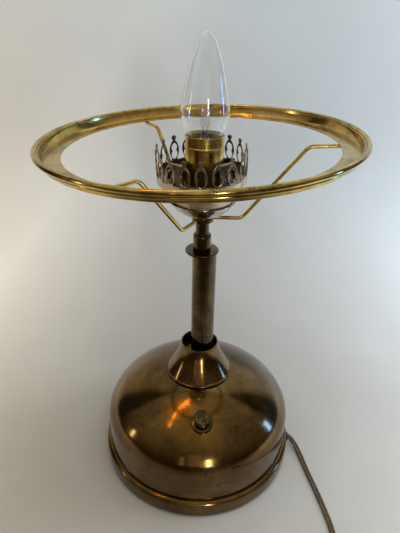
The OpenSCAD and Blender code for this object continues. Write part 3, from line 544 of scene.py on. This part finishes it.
rounded_disc("column_washer", "column_washer_visual", hole_r + tube_at[0], 0.3 * MM)
rounded_disc("column_disc", "column_disc_visual", hole_r, 0.8 * MM)
neck_lo, neck_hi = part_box("neck_sleeve")
neck_r = radius("neck_sleeve")
NECK_ROUND = 1.6 * MM
piece("neck_sleeve_visual", turned(
    [(hole_r, neck_lo.z), (neck_r - 0.3 * MM, neck_lo.z), (neck_r, neck_lo.z + 0.3 * MM)]
    + arc(neck_r - NECK_ROUND, neck_hi.z - NECK_ROUND, NECK_ROUND, 0, 90, 8)
    + [(hole_r, neck_hi.z)]), ["neck_sleeve"])
link_lo, link_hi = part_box("upper_coupling")
link_r = radius("upper_coupling")
BAND = 1.3 * MM
band_r = link_r - 0.6 * MM
piece("upper_coupling_visual", turned(
    [(hole_r, link_lo.z)] + arc(link_r - 0.3 * MM, link_lo.z + 0.3 * MM, 0.3 * MM, -90, 0, 3)
    + arc(link_r - 0.3 * MM, link_lo.z + BAND - 0.3 * MM, 0.3 * MM, 0, 90, 3)
    + [(band_r, link_lo.z + BAND), (band_r, link_hi.z - BAND)]
    + arc(link_r - 0.3 * MM, link_hi.z - BAND + 0.3 * MM, 0.3 * MM, -90, 0, 3)
    + [(link_r, link_hi.z), (hole_r, link_hi.z)], 96), ["upper_coupling"])
hub_lo, hub_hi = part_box("spider_hub")
hub_r = radius("spider_hub")
HUB_EASE = 0.5 * MM
piece("spider_hub_visual", turned(
    [(hole_r, hub_lo.z)] + arc(hub_r - HUB_EASE, hub_lo.z + HUB_EASE, HUB_EASE, -90, 0, 4)
    + arc(hub_r - HUB_EASE, hub_hi.z - HUB_EASE, HUB_EASE, 0, 90, 4) + [(hole_r, hub_hi.z)], 96), ["spider_hub"])

# ---------------------------------------------------------------- shade ring and its arms
RING_LEAN = 2.5
RING_SHIFT = 3.0 * MM
LEDGE_TOP = 338.1 * MM
ring_frame = leaning((0, 0, LEDGE_TOP), RING_LEAN, shift=RING_SHIFT)
ring_lo, ring_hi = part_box("shade_ring")
ring_r = (ring_hi.y - ring_lo.y) / 2
RING_RISE = 9.0 * MM  # ledge to the top of the bead
ring_top = LEDGE_TOP + RING_RISE
RING_BEAD = 2.2 * MM
RING_SHEET = 0.9 * MM
ledge_in = 112.2 * MM
ledge_z = LEDGE_TOP - RING_SHEET
wall_r = ring_r - 4.4 * MM
low_r = ring_r - 5.4 * MM
bead_x, bead_z = ring_r - RING_BEAD, ring_top - RING_BEAD
SECOND_BEAD = 1.1 * MM
second_z = ring_top - 6 * MM
FOLD = 1.2 * MM
CORNER = 0.8 * MM
piece("shade_ring_visual", turned(
    arc(ledge_in + RING_SHEET / 2, ledge_z + RING_SHEET / 2, RING_SHEET / 2, 90, 270, 6)
    + arc(low_r - FOLD, ledge_z + FOLD, FOLD, -90, 0, 8)
    + [(wall_r - 0.25 * MM, second_z - 1.0 * MM)]
    + arc(wall_r, second_z, SECOND_BEAD, -60, 60, 10)
    + [(wall_r - 0.1 * MM, second_z + 1.35 * MM), (wall_r - 0.1 * MM, bead_z - 1.75 * MM)]
    + arc(bead_x, bead_z, RING_BEAD, -150, 180, 30)
    + [(wall_r - RING_SHEET, bead_z - 0.3 * MM), (low_r - RING_SHEET, LEDGE_TOP + CORNER)]
    + [(low_r - RING_SHEET - CORNER, LEDGE_TOP)],
    320, matrix=ring_frame), ["shade_ring"], crease=38)

ARM_BEND = 4.4 * MM
ARM_IN_KNEE = 34.4 * MM
arm_end = ledge_in + 8 * MM
hub_socket = 4 * MM


def rounded(points, cut, n=14):
    """A path with each corner rounded off."""
    pts = [Vector(p) for p in points]
    out = [pts[0]]
    for i in range(1, len(pts) - 1):
        a = pts[i] + cut * (pts[i - 1] - pts[i]).normalized()
        b = pts[i] + cut * (pts[i + 1] - pts[i]).normalized()
        for j in range(n + 1):
            t = j / n
            out.append((1 - t) ** 2 * a + 2 * t * (1 - t) * pts[i] + t * t * b)
    return out + [pts[-1]]


def arm(node, azimuth, knee_r, turn):
    """One wire arm: level out of the hub, up to its knee, then out under the ledge."""
    lo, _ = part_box(node)
    r = (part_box("shade_arm_right")[1].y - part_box("shade_arm_right")[0].y) / 2
    in_z = lo.z + r
    out_z = LEDGE_TOP - RING_SHEET / math.cos(math.radians(RING_LEAN)) - r - 0.06 * MM
    way = Vector((math.cos(math.radians(azimuth)), math.sin(math.radians(azimuth))))
    run = Vector((math.cos(math.radians(azimuth + turn)), math.sin(math.radians(azimuth + turn))))
    knee = way * knee_r
    along = knee.dot(run)
    tip = knee + run * (math.sqrt(along ** 2 - knee_r ** 2 + arm_end ** 2) - along)
    slope = math.tan(math.radians(RING_LEAN))
    path = [
        (*(way * (hub_r - hub_socket)), in_z),
        (*(way * ARM_IN_KNEE), in_z),
        (knee.x, knee.y, out_z + knee.x * slope),
        (tip.x, tip.y, out_z + tip.x * slope),
    ]
    return piece(node + "_visual", swept(rounded(path, ARM_BEND), disc_section(r, 24), (-way.y, way.x, 0)),
                 [node], crease=50)


arm("shade_arm_right", 0, 86 * MM, 0)
arm("shade_arm_back_left", 120, 91 * MM, 0)
arm("shade_arm_front_left", 240, 90 * MM, -16)

# ---------------------------------------------------------------- gallery
bowl_lo, bowl_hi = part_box("gallery_bowl")
bowl_mid = middle("gallery_bowl")
bowl_r = radius("gallery_bowl")
BOWL_SHEET = 0.8 * MM
BOWL_FLAT = 9.8 * MM
bore_r = hole_r - bowl_mid.x


def bowl_curve(r, depth, n=32):
    """Part of a circle about the axis, from the bowl's rim in to its flat."""
    centre = ((r ** 2 - BOWL_FLAT ** 2) / depth - depth) / 2
    reach = math.hypot(r, centre)
    rim, foot = math.atan2(-centre, r), math.atan2(-centre - depth, BOWL_FLAT)
    angles = [rim + (foot - rim) * i / n for i in range(n + 1)]
    return [(reach * math.cos(a), bowl_hi.z + centre + reach * math.sin(a)) for a in angles]


depth = bowl_hi.z - bowl_lo.z
piece("gallery_bowl_visual", turned(
    bowl_curve(bowl_r, depth) + [(bore_r, bowl_lo.z), (bore_r, bowl_lo.z + BOWL_SHEET)]
    + bowl_curve(bowl_r - BOWL_SHEET, depth - BOWL_SHEET)[::-1],
    at=(bowl_mid.x, bowl_mid.y)), ["gallery_bowl"])

crown_frame = leaning((bowl_mid.x, 0, bowl_hi.z), 4.1, way=60)
FINGERS = 18
FINGER_R = 37.8 * MM
FINGER_T = 0.8 * MM
RIM_Z, RIM_TOP, LOOP_Z = 310 * MM, 316.8 * MM, 316 * MM
SHELF_R, SHELF_Z = 31.2 * MM, 306.4 * MM
LOOP_W, LOOP_H, TIP_R = 10 * MM, 18.6 * MM, 2.2 * MM


def lens_half(y, mid, w, h):
    """Half the width of a lens shape at height y."""
    r = (h * h + w * w) / (4 * w)
    d = y - mid
    return max(math.sqrt(r * r - d * d) - (r - w / 2), 0.0) if abs(d) < h / 2 else 0.0


def disc_half(y, mid, r):
    return math.sqrt(r * r - (y - mid) ** 2) if abs(y - mid) < r else 0.0


def finger_mesh():
    """One flat finger with rounded edges, standing along Z in the plane X = 0."""
    flat = bpy.data.curves.new("finger", "CURVE")
    flat.dimensions = "2D"
    flat.fill_mode = "BOTH"
    ease = 0.22 * MM
    flat.extrude = FINGER_T / 2 - ease
    flat.bevel_depth = ease
    flat.bevel_resolution = 2
    flat.offset = -ease
    top = LOOP_H + TIP_R * 0.84 + TIP_R
    low = -0.6 * MM
    rows = [low + (top - low) * i / 88 for i in range(89)]
    half = [max(lens_half(y, LOOP_H / 2, LOOP_W, LOOP_H + 1 * MM), disc_half(y, LOOP_H + TIP_R * 0.84, TIP_R),
                LOOP_W * 0.3 if y < 2.8 * MM else 0.0, 0.0) for y in rows]
    rim = [(w, y) for w, y in zip(half, rows)] + [(-w, y) for w, y in zip(half[::-1], rows[::-1])]
    lower, upper = (LOOP_H * 0.31, LOOP_W * 0.66, LOOP_H * 0.46), (LOOP_H * 0.64, LOOP_W * 0.62, LOOP_H * 0.42)
    y0, y1 = lower[0] - lower[2] / 2, upper[0] + upper[2] / 2
    rows = [y0 + (y1 - y0) * i / 72 for i in range(73)]
    hole = [max(lens_half(y, *lower), lens_half(y, *upper)) for y in rows]
    inside = [(w, y) for w, y in zip(hole, rows)] + [(-w, y) for w, y in zip(hole[-2:0:-1], rows[-2:0:-1])]
    for loop in (rim, inside):
        line = flat.splines.new("POLY")
        line.points.add(len(loop) - 1)
        line.use_cyclic_u = True
        for p, (x, y) in zip(line.points, loop):
            p.co = (x, y, 0, 1)
    obj = bpy.data.objects.new("finger", flat)
    bpy.context.scene.collection.objects.link(obj)
    bpy.context.view_layer.update()
    mesh = bpy.data.meshes.new_from_object(obj.evaluated_get(bpy.context.evaluated_depsgraph_get()))
    bpy.data.objects.remove(obj)
    verts = [(v.co.z, v.co.x, v.co.y) for v in mesh.vertices]
    faces = [tuple(f.vertices) for f in mesh.polygons]
    bpy.data.meshes.remove(mesh)
    return verts, faces


one = finger_mesh()
fingers = []
for i in range(FINGERS):
    place = Matrix.Rotation(TURN * (i / FINGERS - 0.25), 4, "Z") @ Matrix.Translation((FINGER_R, 0, LOOP_Z))
    fingers.append(([tuple(place @ Vector(v)) for v in one[0]], one[1]))
half_t = FINGER_T / 2
skirt_r = bowl_r - BOWL_SHEET - 0.8 * MM
sleeve = turned(
    [(skirt_r - 0.4 * MM - FINGER_T, bowl_hi.z - 0.4 * MM), (skirt_r - 0.4 * MM, bowl_hi.z - 0.4 * MM)]
    + [(skirt_r, bowl_hi.z + 1 * MM)]
    + [(skirt_r + 0.15 * MM, bowl_hi.z + 6 * MM), (SHELF_R - 0.5 * MM, SHELF_Z - 2.2 * MM)]
    + [(SHELF_R, SHELF_Z), (SHELF_R + 2.2 * MM, SHELF_Z + 1.2 * MM), (FINGER_R + half_t - 0.6 * MM, RIM_Z - 0.3 * MM)]
    + [(FINGER_R + half_t, RIM_Z + 0.5 * MM), (FINGER_R + half_t, RIM_TOP - 0.3 * MM)]
    + arc(FINGER_R, RIM_TOP - 0.4 * MM, half_t, 0, 180, 6)
    + [(FINGER_R - half_t, RIM_Z + FINGER_T), (SHELF_R - FINGER_T, SHELF_Z + FINGER_T)]
    + [(skirt_r - FINGER_T, bowl_hi.z + 1 * MM)])
crown = merged([sleeve] + fingers)
crown = ([tuple(crown_frame @ Vector(v)) for v in crown[0]], crown[1])
piece("gallery_crown_visual", crown, ["gallery_crown"], crease=38)

# ---------------------------------------------------------------- socket and bulb
shell_lo, shell_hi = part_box("socket_shell")
shell_r = radius("socket_shell") - 0.6 * MM
SHELL_T = 0.6 * MM
step_z = shell_lo.z + 18.4 * MM
roll_z = shell_hi.z - 9.3 * MM
low_shell = shell_r - 0.6 * MM
piece("socket_shell_visual", turned(
    [(low_shell - SHELL_T, shell_lo.z), (low_shell, shell_lo.z), (low_shell, step_z - 1.2 * MM)]
    + [(low_shell + 0.15 * MM, step_z - 0.7 * MM), (shell_r - 0.1 * MM, step_z - 0.1 * MM), (shell_r, step_z + 0.4 * MM)]
    + [(shell_r, roll_z - 1.3 * MM)] + arc(shell_r - 0.5 * MM, roll_z, 1.1 * MM, -62, 62, 12)
    + [(shell_r, roll_z + 1.3 * MM), (shell_r, shell_hi.z - 0.5 * MM)]
    + arc(shell_r - SHELL_T / 2, shell_hi.z - SHELL_T / 2, SHELL_T / 2, 0, 180, 8)
    + [(shell_r - SHELL_T, shell_hi.z - 1.2 * MM), (low_shell - SHELL_T, shell_hi.z - 1.8 * MM)],
    160), ["socket_shell"], crease=40)

bulb_lo, bulb_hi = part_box("bulb_glass")
bulb_r = radius("bulb_glass")
GLASS_T = 0.8 * MM
WIDE_Z = 364 * MM
FLARE_Z = 342.5 * MM
NECK_TOP = 338.5 * MM
NECK_R = 12.7 * MM


def glass_profile(r, neck, tip, n=56):
    """Outline of the bulb's glass from its neck to its tip."""
    out = []
    for i in range(24, -1, -1):
        v = i / 24
        out.append((neck + 0.3 * MM + (r - neck - 0.3 * MM) * (1 - v ** 1.4), WIDE_Z - (WIDE_Z - FLARE_Z) * v))
    for i in range(1, n + 1):
        u = 1 - (1 - i / n) ** 2
        out.append((r * (1 - u ** 1.2) ** 0.52 if i < n else 0.0, WIDE_Z + (tip - WIDE_Z) * u))
    return out


inner_neck = NECK_R - GLASS_T
outside = [(inner_neck, bulb_lo.z), (NECK_R, bulb_lo.z), (NECK_R, NECK_TOP)]
outside += glass_profile(bulb_r, NECK_R, bulb_hi.z)
inside = glass_profile(bulb_r - GLASS_T, inner_neck, bulb_hi.z - GLASS_T) [::-1] + [(inner_neck, NECK_TOP)]
piece("bulb_glass_visual", turned(outside + inside, 144), ["bulb_glass"], "bulb", crease=60)

STEM_H = 15 * MM
piece("bulb_stem_visual", turned(
    [(0, bulb_lo.z), (11.7 * MM, bulb_lo.z), (11.7 * MM, bulb_lo.z + 1.2 * MM)]
    + arc(11.7 * MM, bulb_lo.z + 8.4 * MM, 7.2 * MM, -90, -160, 12)
    + [(3.4 * MM, bulb_lo.z + 12 * MM), (2.6 * MM, bulb_lo.z + STEM_H), (0, bulb_lo.z + STEM_H)],
    64, closed=False), ["bulb_stem"], "bulb", crease=40)

stem_top = bulb_lo.z + STEM_H + 0.02 * MM
LEG_X, LEAD_H, CREST = 1.7 * MM, 3 * MM, 13 * MM
STRANDS = (-3.1 * MM, -1.1 * MM, 1.1 * MM, 3.1 * MM)
ZIGS = 9
loop = [(-LEG_X, 0, stem_top + LEAD_H)]
for i, x in enumerate(STRANDS):
    steps = range(ZIGS + 1) if i % 2 == 0 else range(ZIGS, -1, -1)
    for k in steps:
        swing = 1 if (k + i) % 2 == 0 else -1
        loop.append((x + swing * 0.5 * MM, swing * 0.7 * MM, stem_top + LEAD_H + 1 * MM + CREST * k / ZIGS))
loop.append((LEG_X, 0, stem_top + LEAD_H))
leads = [swept([(s * LEG_X, 0, stem_top), (s * LEG_X, 0, stem_top + LEAD_H + 0.3 * MM)],
               disc_section(0.35 * MM, 12), (0, 1, 0)) for s in (-1, 1)]
piece("bulb_filament_visual", merged(leads + [swept(loop, disc_section(0.3 * MM, 8), (0, 1, 0.01))]),
      ["bulb_filament"], "bulb", crease=60)

# ---------------------------------------------------------------- switch
press = JOINTS["switch_press"]
press_axis = -Vector(press["axis"])
press_turn = Vector((0, 0, 1)).rotation_difference(press_axis).to_matrix().to_4x4()
SWITCH_R = 66 * MM
SWITCH_TURN = math.radians(3.6)
switch_top = Vector((SWITCH_R * math.sin(SWITCH_TURN), -SWITCH_R * math.cos(SWITCH_TURN), dome_z(SWITCH_R) + 2.6 * MM))
switch_frame = Matrix.Translation(switch_top) @ press_turn
BOSS_R = 10.5 * MM
BUSH_R = 5.05 * MM
boss_rows = [[], [], [], [], [], []]
BOSS_N = 128
for j in range(BOSS_N):
    a = TURN * j / BOSS_N
    c, d = math.cos(a), math.sin(a)
    low, high = -14 * MM, 0.0
    for _ in range(40):
        t = (low + high) / 2
        q = switch_frame @ Vector((BOSS_R * c, BOSS_R * d, t))
        if q.z > dome_z(math.hypot(q.x, q.y)):
            high = t
        else:
            low = t
    for row, (r, z) in zip(boss_rows, ((BUSH_R, -1.6 * MM), (BUSH_R, 0.0), (BOSS_R - 0.9 * MM, 0.0),
                                       (BOSS_R - 0.25 * MM, -0.25 * MM), (BOSS_R, -0.9 * MM), (BOSS_R, high))):
        row.append(switch_frame @ Vector((r * c, r * d, z)))
verts = [v for row in boss_rows for v in row]
faces = [(i * BOSS_N + j, i * BOSS_N + (j + 1) % BOSS_N, (i + 1) * BOSS_N + (j + 1) % BOSS_N, (i + 1) * BOSS_N + j)
         for i in range(5) for j in range(BOSS_N)]
faces += [(5 * BOSS_N + j, 5 * BOSS_N + (j + 1) % BOSS_N, (j + 1) % BOSS_N, j) for j in range(BOSS_N)]
piece("switch_boss_visual", (verts, faces), ["switch_boss"], crease=40, finish="switch_brass")

BUTTON_R, BUTTON_GAP, BUTTON_H = 8 * MM, 4.2 * MM, 6 * MM
STEM_R, STEM_END = 3.14 * MM, -10 * MM
cap_top = BUTTON_GAP + BUTTON_H
piece("switch_button_visual", turned(
    [(0, STEM_END), (STEM_R, STEM_END), (STEM_R, BUTTON_GAP), (BUTTON_R - 0.4 * MM, BUTTON_GAP)]
    + [(BUTTON_R, BUTTON_GAP + 0.4 * MM)]
    + arc(BUTTON_R - 1.4 * MM, cap_top - 1.4 * MM, 1.4 * MM, 0, 90, 10)
    + [(2.6 * MM, cap_top), (2.2 * MM, cap_top - 0.15 * MM), (1.3 * MM, cap_top - 0.9 * MM), (0, cap_top - 1.0 * MM)],
    96, closed=False, matrix=switch_frame), ["switch_button"], "button", 40, "switch_brass")

spring_cad = frame["nodes"]["switch_spring"]
coil = [spring_cad.matrix_world @ v.co for v in spring_cad.data.vertices]
spring = piece("switch_spring_visual", (coil, [tuple(f.vertices) for f in spring_cad.data.polygons]),
               ["switch_spring"], crease=60)
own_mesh(spring)

# ---------------------------------------------------------------- cord and plug
CORD_W, CORD_T = 5.6 * MM, 3.0 * MM
bush = middle("cord_bush")
lay = CORD_T / 2 + 0.1 * MM
plug_lo, plug_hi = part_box("plug_body")
plug_mid = middle("plug_body")
cord_lo, cord_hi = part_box("cord")


def beyond(x, y, z):
    """A point given from the foot's edge, in millimetres."""
    return (foot_r + x * MM, y * MM, z * MM)


cy, cz = bush.y / MM, bush.z / MM
lay_mm = lay / MM
path = curve_through([
    (cord_lo.x, bush.y, bush.z),
    beyond(-6, cy, cz), beyond(3.2, cy, cz), beyond(9.5, cy - 8, cz - 3), beyond(14, cy - 22, lay_mm + 0.9),
    beyond(18, cy - 42, lay_mm + 0.1), beyond(24, -74, lay_mm), beyond(30, -112, lay_mm),
    (plug_mid.x, -152 * MM, lay + 1.2 * MM), (plug_mid.x, plug_hi.y + 2 * MM, plug_mid.z - 0.2 * MM),
    (plug_mid.x, plug_hi.y - 2 * MM, plug_mid.z), (plug_mid.x, plug_hi.y - 4 * MM, plug_mid.z)], 12)
core_r, core_x = CORD_T / 2, CORD_W / 2 - CORD_T / 2
waist = math.degrees(math.acos(min(0.92, core_x / core_r)))
twin = arc(core_x, 0, core_r, waist - 180, 180 - waist, 12) + arc(-core_x, 0, core_r, waist, 360 - waist, 12)
piece("cord_visual", swept(path, twin, (0, 0, 1)), ["cord"], crease=50)

PLUG_SECTIONS = 22
plug_w, plug_h = plug_hi.x - plug_lo.x, plug_hi.z - plug_lo.z
plug_len = plug_hi.y - plug_lo.y
rows = []
for i in range(PLUG_SECTIONS + 1):
    u = i / PLUG_SECTIONS
    ease = 0.86 + 0.14 * min(1.0, u / 0.06) ** 0.5
    taper = 0.0 if u < 0.46 else (u - 0.46) / 0.54
    w = (plug_w / 2 + (4.6 * MM - plug_w / 2) * taper) * ease
    h = (plug_h / 2 + (4.6 * MM - plug_h / 2) * taper) * ease
    if u > 0.95:
        w, h = w - (u - 0.95) * 12 * MM, h - (u - 0.95) * 12 * MM
    power = 2 / (5 - 3 * taper)
    ring = []
    for j in range(64):
        a = TURN * j / 64
        c, d = math.cos(a), math.sin(a)
        ring.append((plug_mid.x + w * math.copysign(abs(c) ** power, c), plug_lo.y + plug_len * u,
                     plug_mid.z + h * math.copysign(abs(d) ** power, d)))
    rows.append(ring)
verts = [v for ring in rows for v in ring]
faces = [(i * 64 + j, i * 64 + (j + 1) % 64, (i + 1) * 64 + (j + 1) % 64, (i + 1) * 64 + j)
         for i in range(PLUG_SECTIONS) for j in range(64)]
faces += [tuple(range(63, -1, -1)), tuple(PLUG_SECTIONS * 64 + j for j in range(64))]
piece("plug_body_visual", (verts, faces), ["plug_body"], crease=40)

# ---------------------------------------------------------------- room, lights and camera
scene = bpy.context.scene
scene.view_settings.view_transform = "Standard"


def sheet_material():
    p = Paint("backdrop_sheet")
    soft = p.noise(p.object_co, 2.2, 3, 0.5)
    weave = p.noise(p.object_co, 900, 2, 0.6)
    colour = p.ramp(soft, (0.3, (0.50, 0.50, 0.485)), (0.7, (0.60, 0.61, 0.60)))
    p.bump(p.noise(p.object_co, 5, 3, 0.5), 0.5, 0.01)
    p.bump(weave, 0.1, 0.0003)
    parts = p.node("ShaderNodeSeparateXYZ")
    p.link(p.object_co, parts.inputs[0])
    x, s = parts.outputs[0], p.sum("ADD", parts.outputs[1], parts.outputs[2])
    # Uneven light on the sheet: brighter behind and at the sides, dimmer and warmer in front on the left
    gain = p.sum("ADD", p.sum("MULTIPLY", x, 0.45), p.sum("MULTIPLY", s, 0.2))
    gain = p.sum("ADD", gain, p.sum("MULTIPLY", p.sum("MULTIPLY", x, x), 5.0))
    gain = p.sum("ADD", gain, p.sum("MULTIPLY", p.sum("MULTIPLY", s, s), 0.54))
    gain = p.sum("ADD", gain, p.sum("MULTIPLY", p.sum("MULTIPLY", x, s), -1.87))
    gain = p.sum("MINIMUM", p.sum("MAXIMUM", p.sum("ADD", gain, 0.70), 0.45), 1.5)
    cool = p.sum("ADD", p.sum("MULTIPLY", x, 0.9), p.sum("MULTIPLY", s, 0.55))
    cool = p.sum("ADD", cool, 0.42, clamp=True)
    tint = p.mix(cool, (1.14, 1.0, 0.82), (0.93, 1.0, 1.06))
    grey = p.node("ShaderNodeCombineColor")
    for socket in grey.inputs[:3]:
        p.link(gain, socket)
    colour = p.mix(1.0, p.mix(1.0, colour, tint, "MULTIPLY"), grey.outputs[0], "MULTIPLY")
    # Reflections see the sheet fade into a dim room in front
    fade = p.node("ShaderNodeMapRange", interpolation_type="SMOOTHSTEP")
    p.link(parts.outputs[1], fade.inputs[0])
    fade.inputs[1].default_value, fade.inputs[2].default_value = -0.10, -0.42
    sides = p.node("ShaderNodeMapRange", interpolation_type="SMOOTHSTEP")
    p.link(p.sum("ABSOLUTE", x), sides.inputs[0])
    sides.inputs[1].default_value, sides.inputs[2].default_value = 0.6, 1.0
    shiny = p.node("ShaderNodeLightPath").outputs["Is Glossy Ray"]
    dim = p.sum("MULTIPLY", p.sum("MAXIMUM", fade.outputs[0], sides.outputs[0]), shiny)
    colour = p.mix(dim, colour, (0.05, 0.04, 0.03))
    p.finish(colour, p.ramp(weave, (0.3, 0.75), (0.7, 0.95)))
    # Seen from behind, the sheet lets the camera through
    behind = p.node("ShaderNodeNewGeometry").outputs["Backfacing"]
    eye = p.node("ShaderNodeLightPath").outputs["Is Camera Ray"]
    clear = p.node("ShaderNodeBsdfTransparent")
    join = p.node("ShaderNodeMixShader")
    p.link(p.sum("MULTIPLY", behind, eye), join.inputs[0])
    p.link(p.bsdf.outputs[0], join.inputs[1])
    p.link(clear.outputs[0], join.inputs[2])
    p.link(join.outputs[0], p.out.inputs[0])
    return p.mat


FRONT_Y, BACK_Y, SWEEP_R, SHEET_TOP, SHEET_HALF = -2.0, 0.46, 0.22, 1.9, 2.6
strip = [(FRONT_Y, 0.0), (BACK_Y - SWEEP_R, 0.0)]
for i in range(1, 25):
    a = math.pi / 2 * i / 24
    strip.append((BACK_Y - SWEEP_R + SWEEP_R * math.sin(a), SWEEP_R - SWEEP_R * math.cos(a)))
strip.append((BACK_Y, SHEET_TOP))
FLOOR_Z = -0.0002
verts = [(x, y, z + FLOOR_Z) for y, z in strip for x in (-SHEET_HALF, SHEET_HALF)]
faces = [(2 * i, 2 * i + 1, 2 * i + 3, 2 * i + 2) for i in range(len(strip) - 1)]
backdrop = make("backdrop", verts, faces, 180)
backdrop.data.materials.append(sheet_material())


def window(name, at, towards, width, height, power, colour, bars=(0, 0), turn=0.0,
           lights_room=True):
    """A bright pane with glazing bars, seen only in reflections and by its light."""
    p = Paint(name)
    parts = p.node("ShaderNodeSeparateXYZ")
    p.link(p.object_co, parts.inputs[0])
    lit = 1.0
    for axis, (size, count) in enumerate(((width, bars[0]), (height, bars[1]))):
        if count:
            cell = size / (count + 1)
            pane = p.sum("ABSOLUTE", p.sum("SUBTRACT", p.sum("FRACT", p.sum(
                "DIVIDE", p.sum("ADD", parts.outputs[axis], size / 2), cell)), 0.5))
            lit = p.sum("MULTIPLY", lit, p.sum("LESS_THAN", pane, 0.46))
    glow = p.node("ShaderNodeEmission")
    glow.inputs["Color"].default_value = (*colour, 1)
    p.put(glow.inputs["Strength"], p.sum("MULTIPLY", lit, power))
    p.link(glow.outputs[0], p.out.inputs[0])
    w, h = width / 2, height / 2
    pane = make(name, [(-w, -h, 0), (w, -h, 0), (w, h, 0), (-w, h, 0)], [(0, 1, 2, 3)], 180)
    pane.data.materials.append(p.mat)
    pane.location = at
    pane.rotation_mode = "QUATERNION"
    pane.rotation_quaternion = ((Vector(towards) - Vector(at)).to_track_quat("Z", "Y")
                                @ Matrix.Rotation(math.radians(turn), 4, "Z").to_quaternion())
    pane.visible_camera = False
    pane.visible_diffuse = lights_room
    return pane


MIDDLE = (0, 0, 0.2)
window("window_front", (0.50, -2.24, 0.42), MIDDLE, 0.2, 0.7, 24.0, (0.86, 0.94, 1.0), (0, 2))
window("window_front_left", (-0.62, -2.2, 0.5), MIDDLE, 0.12, 0.8, 1.6, (1.0, 0.96, 0.9), (0, 1))
window("dim_wall", (0.2, -2.5, 0.75), MIDDLE, 1.3, 1.2, 0.6, (1.0, 0.90, 0.74), lights_room=False)
window("window_right", (2.3, 0.10, 0.46), MIDDLE, 0.2, 0.7, 24.0, (0.11, 0.30, 1.0), (1, 0))
window("window_left", (-2.1, -0.42, 0.42), MIDDLE, 0.12, 0.45, 9.0, (1.0, 0.93, 0.84))
for name, x, y, length, turn in (("strip_low", -0.845, -0.51, 0.72, 33), ("strip_high", -0.455, -0.045, 0.5, 50)):
    window(name, (x, y, 1.9), (x, y, 0), 0.018, length, 44.0, (1.0, 0.46, 0.10), turn=turn, lights_room=False)
window("warm_ceiling", (-0.6, -0.2, 2.0), MIDDLE, 0.6, 0.8, 0.8, (1.0, 0.74, 0.36), lights_room=False)


def soft_light(name, at, towards, size, power, colour):
    data = bpy.data.lights.new(name, "AREA")
    data.shape = "SQUARE"
    data.size = size
    data.energy = power
    data.color = colour
    light = bpy.data.objects.new(name, data)
    scene.collection.objects.link(light)
    light.location = at
    light.rotation_mode = "QUATERNION"
    light.rotation_quaternion = (Vector(towards) - Vector(at)).to_track_quat("-Z", "Y")
    return light


overhead = soft_light("overhead", (0.35, -0.15, 1.8), (0.1, 0.1, 0.1), 1.3, 13, (1.0, 1.0, 0.99))
overhead.visible_glossy = overhead.visible_transmission = False
daylight = soft_light("daylight", (1.5, 0.1, 0.9), (0.2, 0.1, 0.1), 0.7, 8, (0.90, 0.96, 1.0))
daylight.visible_glossy = daylight.visible_transmission = False


def room():
    """Dim room for the reflections, pale beyond the sheet for the camera."""
    world = bpy.data.worlds.new("room")
    scene.world = world
    world.use_nodes = True
    tree = world.node_tree
    back = next(n for n in tree.nodes if n.type == "BACKGROUND")
    co = tree.nodes.new("ShaderNodeTexCoord")
    parts = tree.nodes.new("ShaderNodeSeparateXYZ")
    tree.links.new(co.outputs["Generated"], parts.inputs[0])
    ramp = tree.nodes.new("ShaderNodeValToRGB")
    stops = ((0.0, (0.03, 0.02, 0.012)), (0.48, (0.07, 0.05, 0.034)), (0.64, (0.20, 0.16, 0.12)),
             (1.0, (0.60, 0.58, 0.54)))
    while len(ramp.color_ramp.elements) < len(stops):
        ramp.color_ramp.elements.new(0.5)
    for e, (pos, colour) in zip(ramp.color_ramp.elements, stops):
        e.position, e.color = pos, (*colour, 1)
    half = tree.nodes.new("ShaderNodeMath")
    half.operation = "MULTIPLY_ADD"
    half.inputs[1].default_value = half.inputs[2].default_value = 0.5
    tree.links.new(parts.outputs[2], half.inputs[0])
    tree.links.new(half.outputs[0], ramp.inputs[0])
    eye = tree.nodes.new("ShaderNodeLightPath")
    mix = tree.nodes.new("ShaderNodeMix")
    mix.data_type = "RGBA"
    tree.links.new(eye.outputs["Is Camera Ray"], mix.inputs[0])
    tree.links.new(ramp.outputs[0], mix.inputs[6])
    mix.inputs[7].default_value = (0.56, 0.57, 0.56, 1)
    tree.links.new(mix.outputs[2], back.inputs[0])
    back.inputs[1].default_value = 1.0


room()

CAMERA_AT = Vector((-1.37, -393.0, 441.8)) * MM
CAMERA_PITCH = 28.95
CAMERA_ROLL = math.degrees(0.0245)
SENSOR = 36.0
FOCAL_OVER_LONG_SIDE = 480 / 533
lens = bpy.data.cameras.new("camera")
lens.sensor_width = SENSOR
lens.lens = SENSOR * FOCAL_OVER_LONG_SIDE
lens.clip_start = 0.01
camera = bpy.data.objects.new("camera", lens)
scene.collection.objects.link(camera)
camera.matrix_world = (Matrix.Translation(CAMERA_AT) @ Matrix.Rotation(math.radians(90 - CAMERA_PITCH), 4, "X")
                       @ Matrix.Rotation(math.radians(CAMERA_ROLL), 4, "Z"))
scene.camera = camera

bpy.context.view_layer.update()
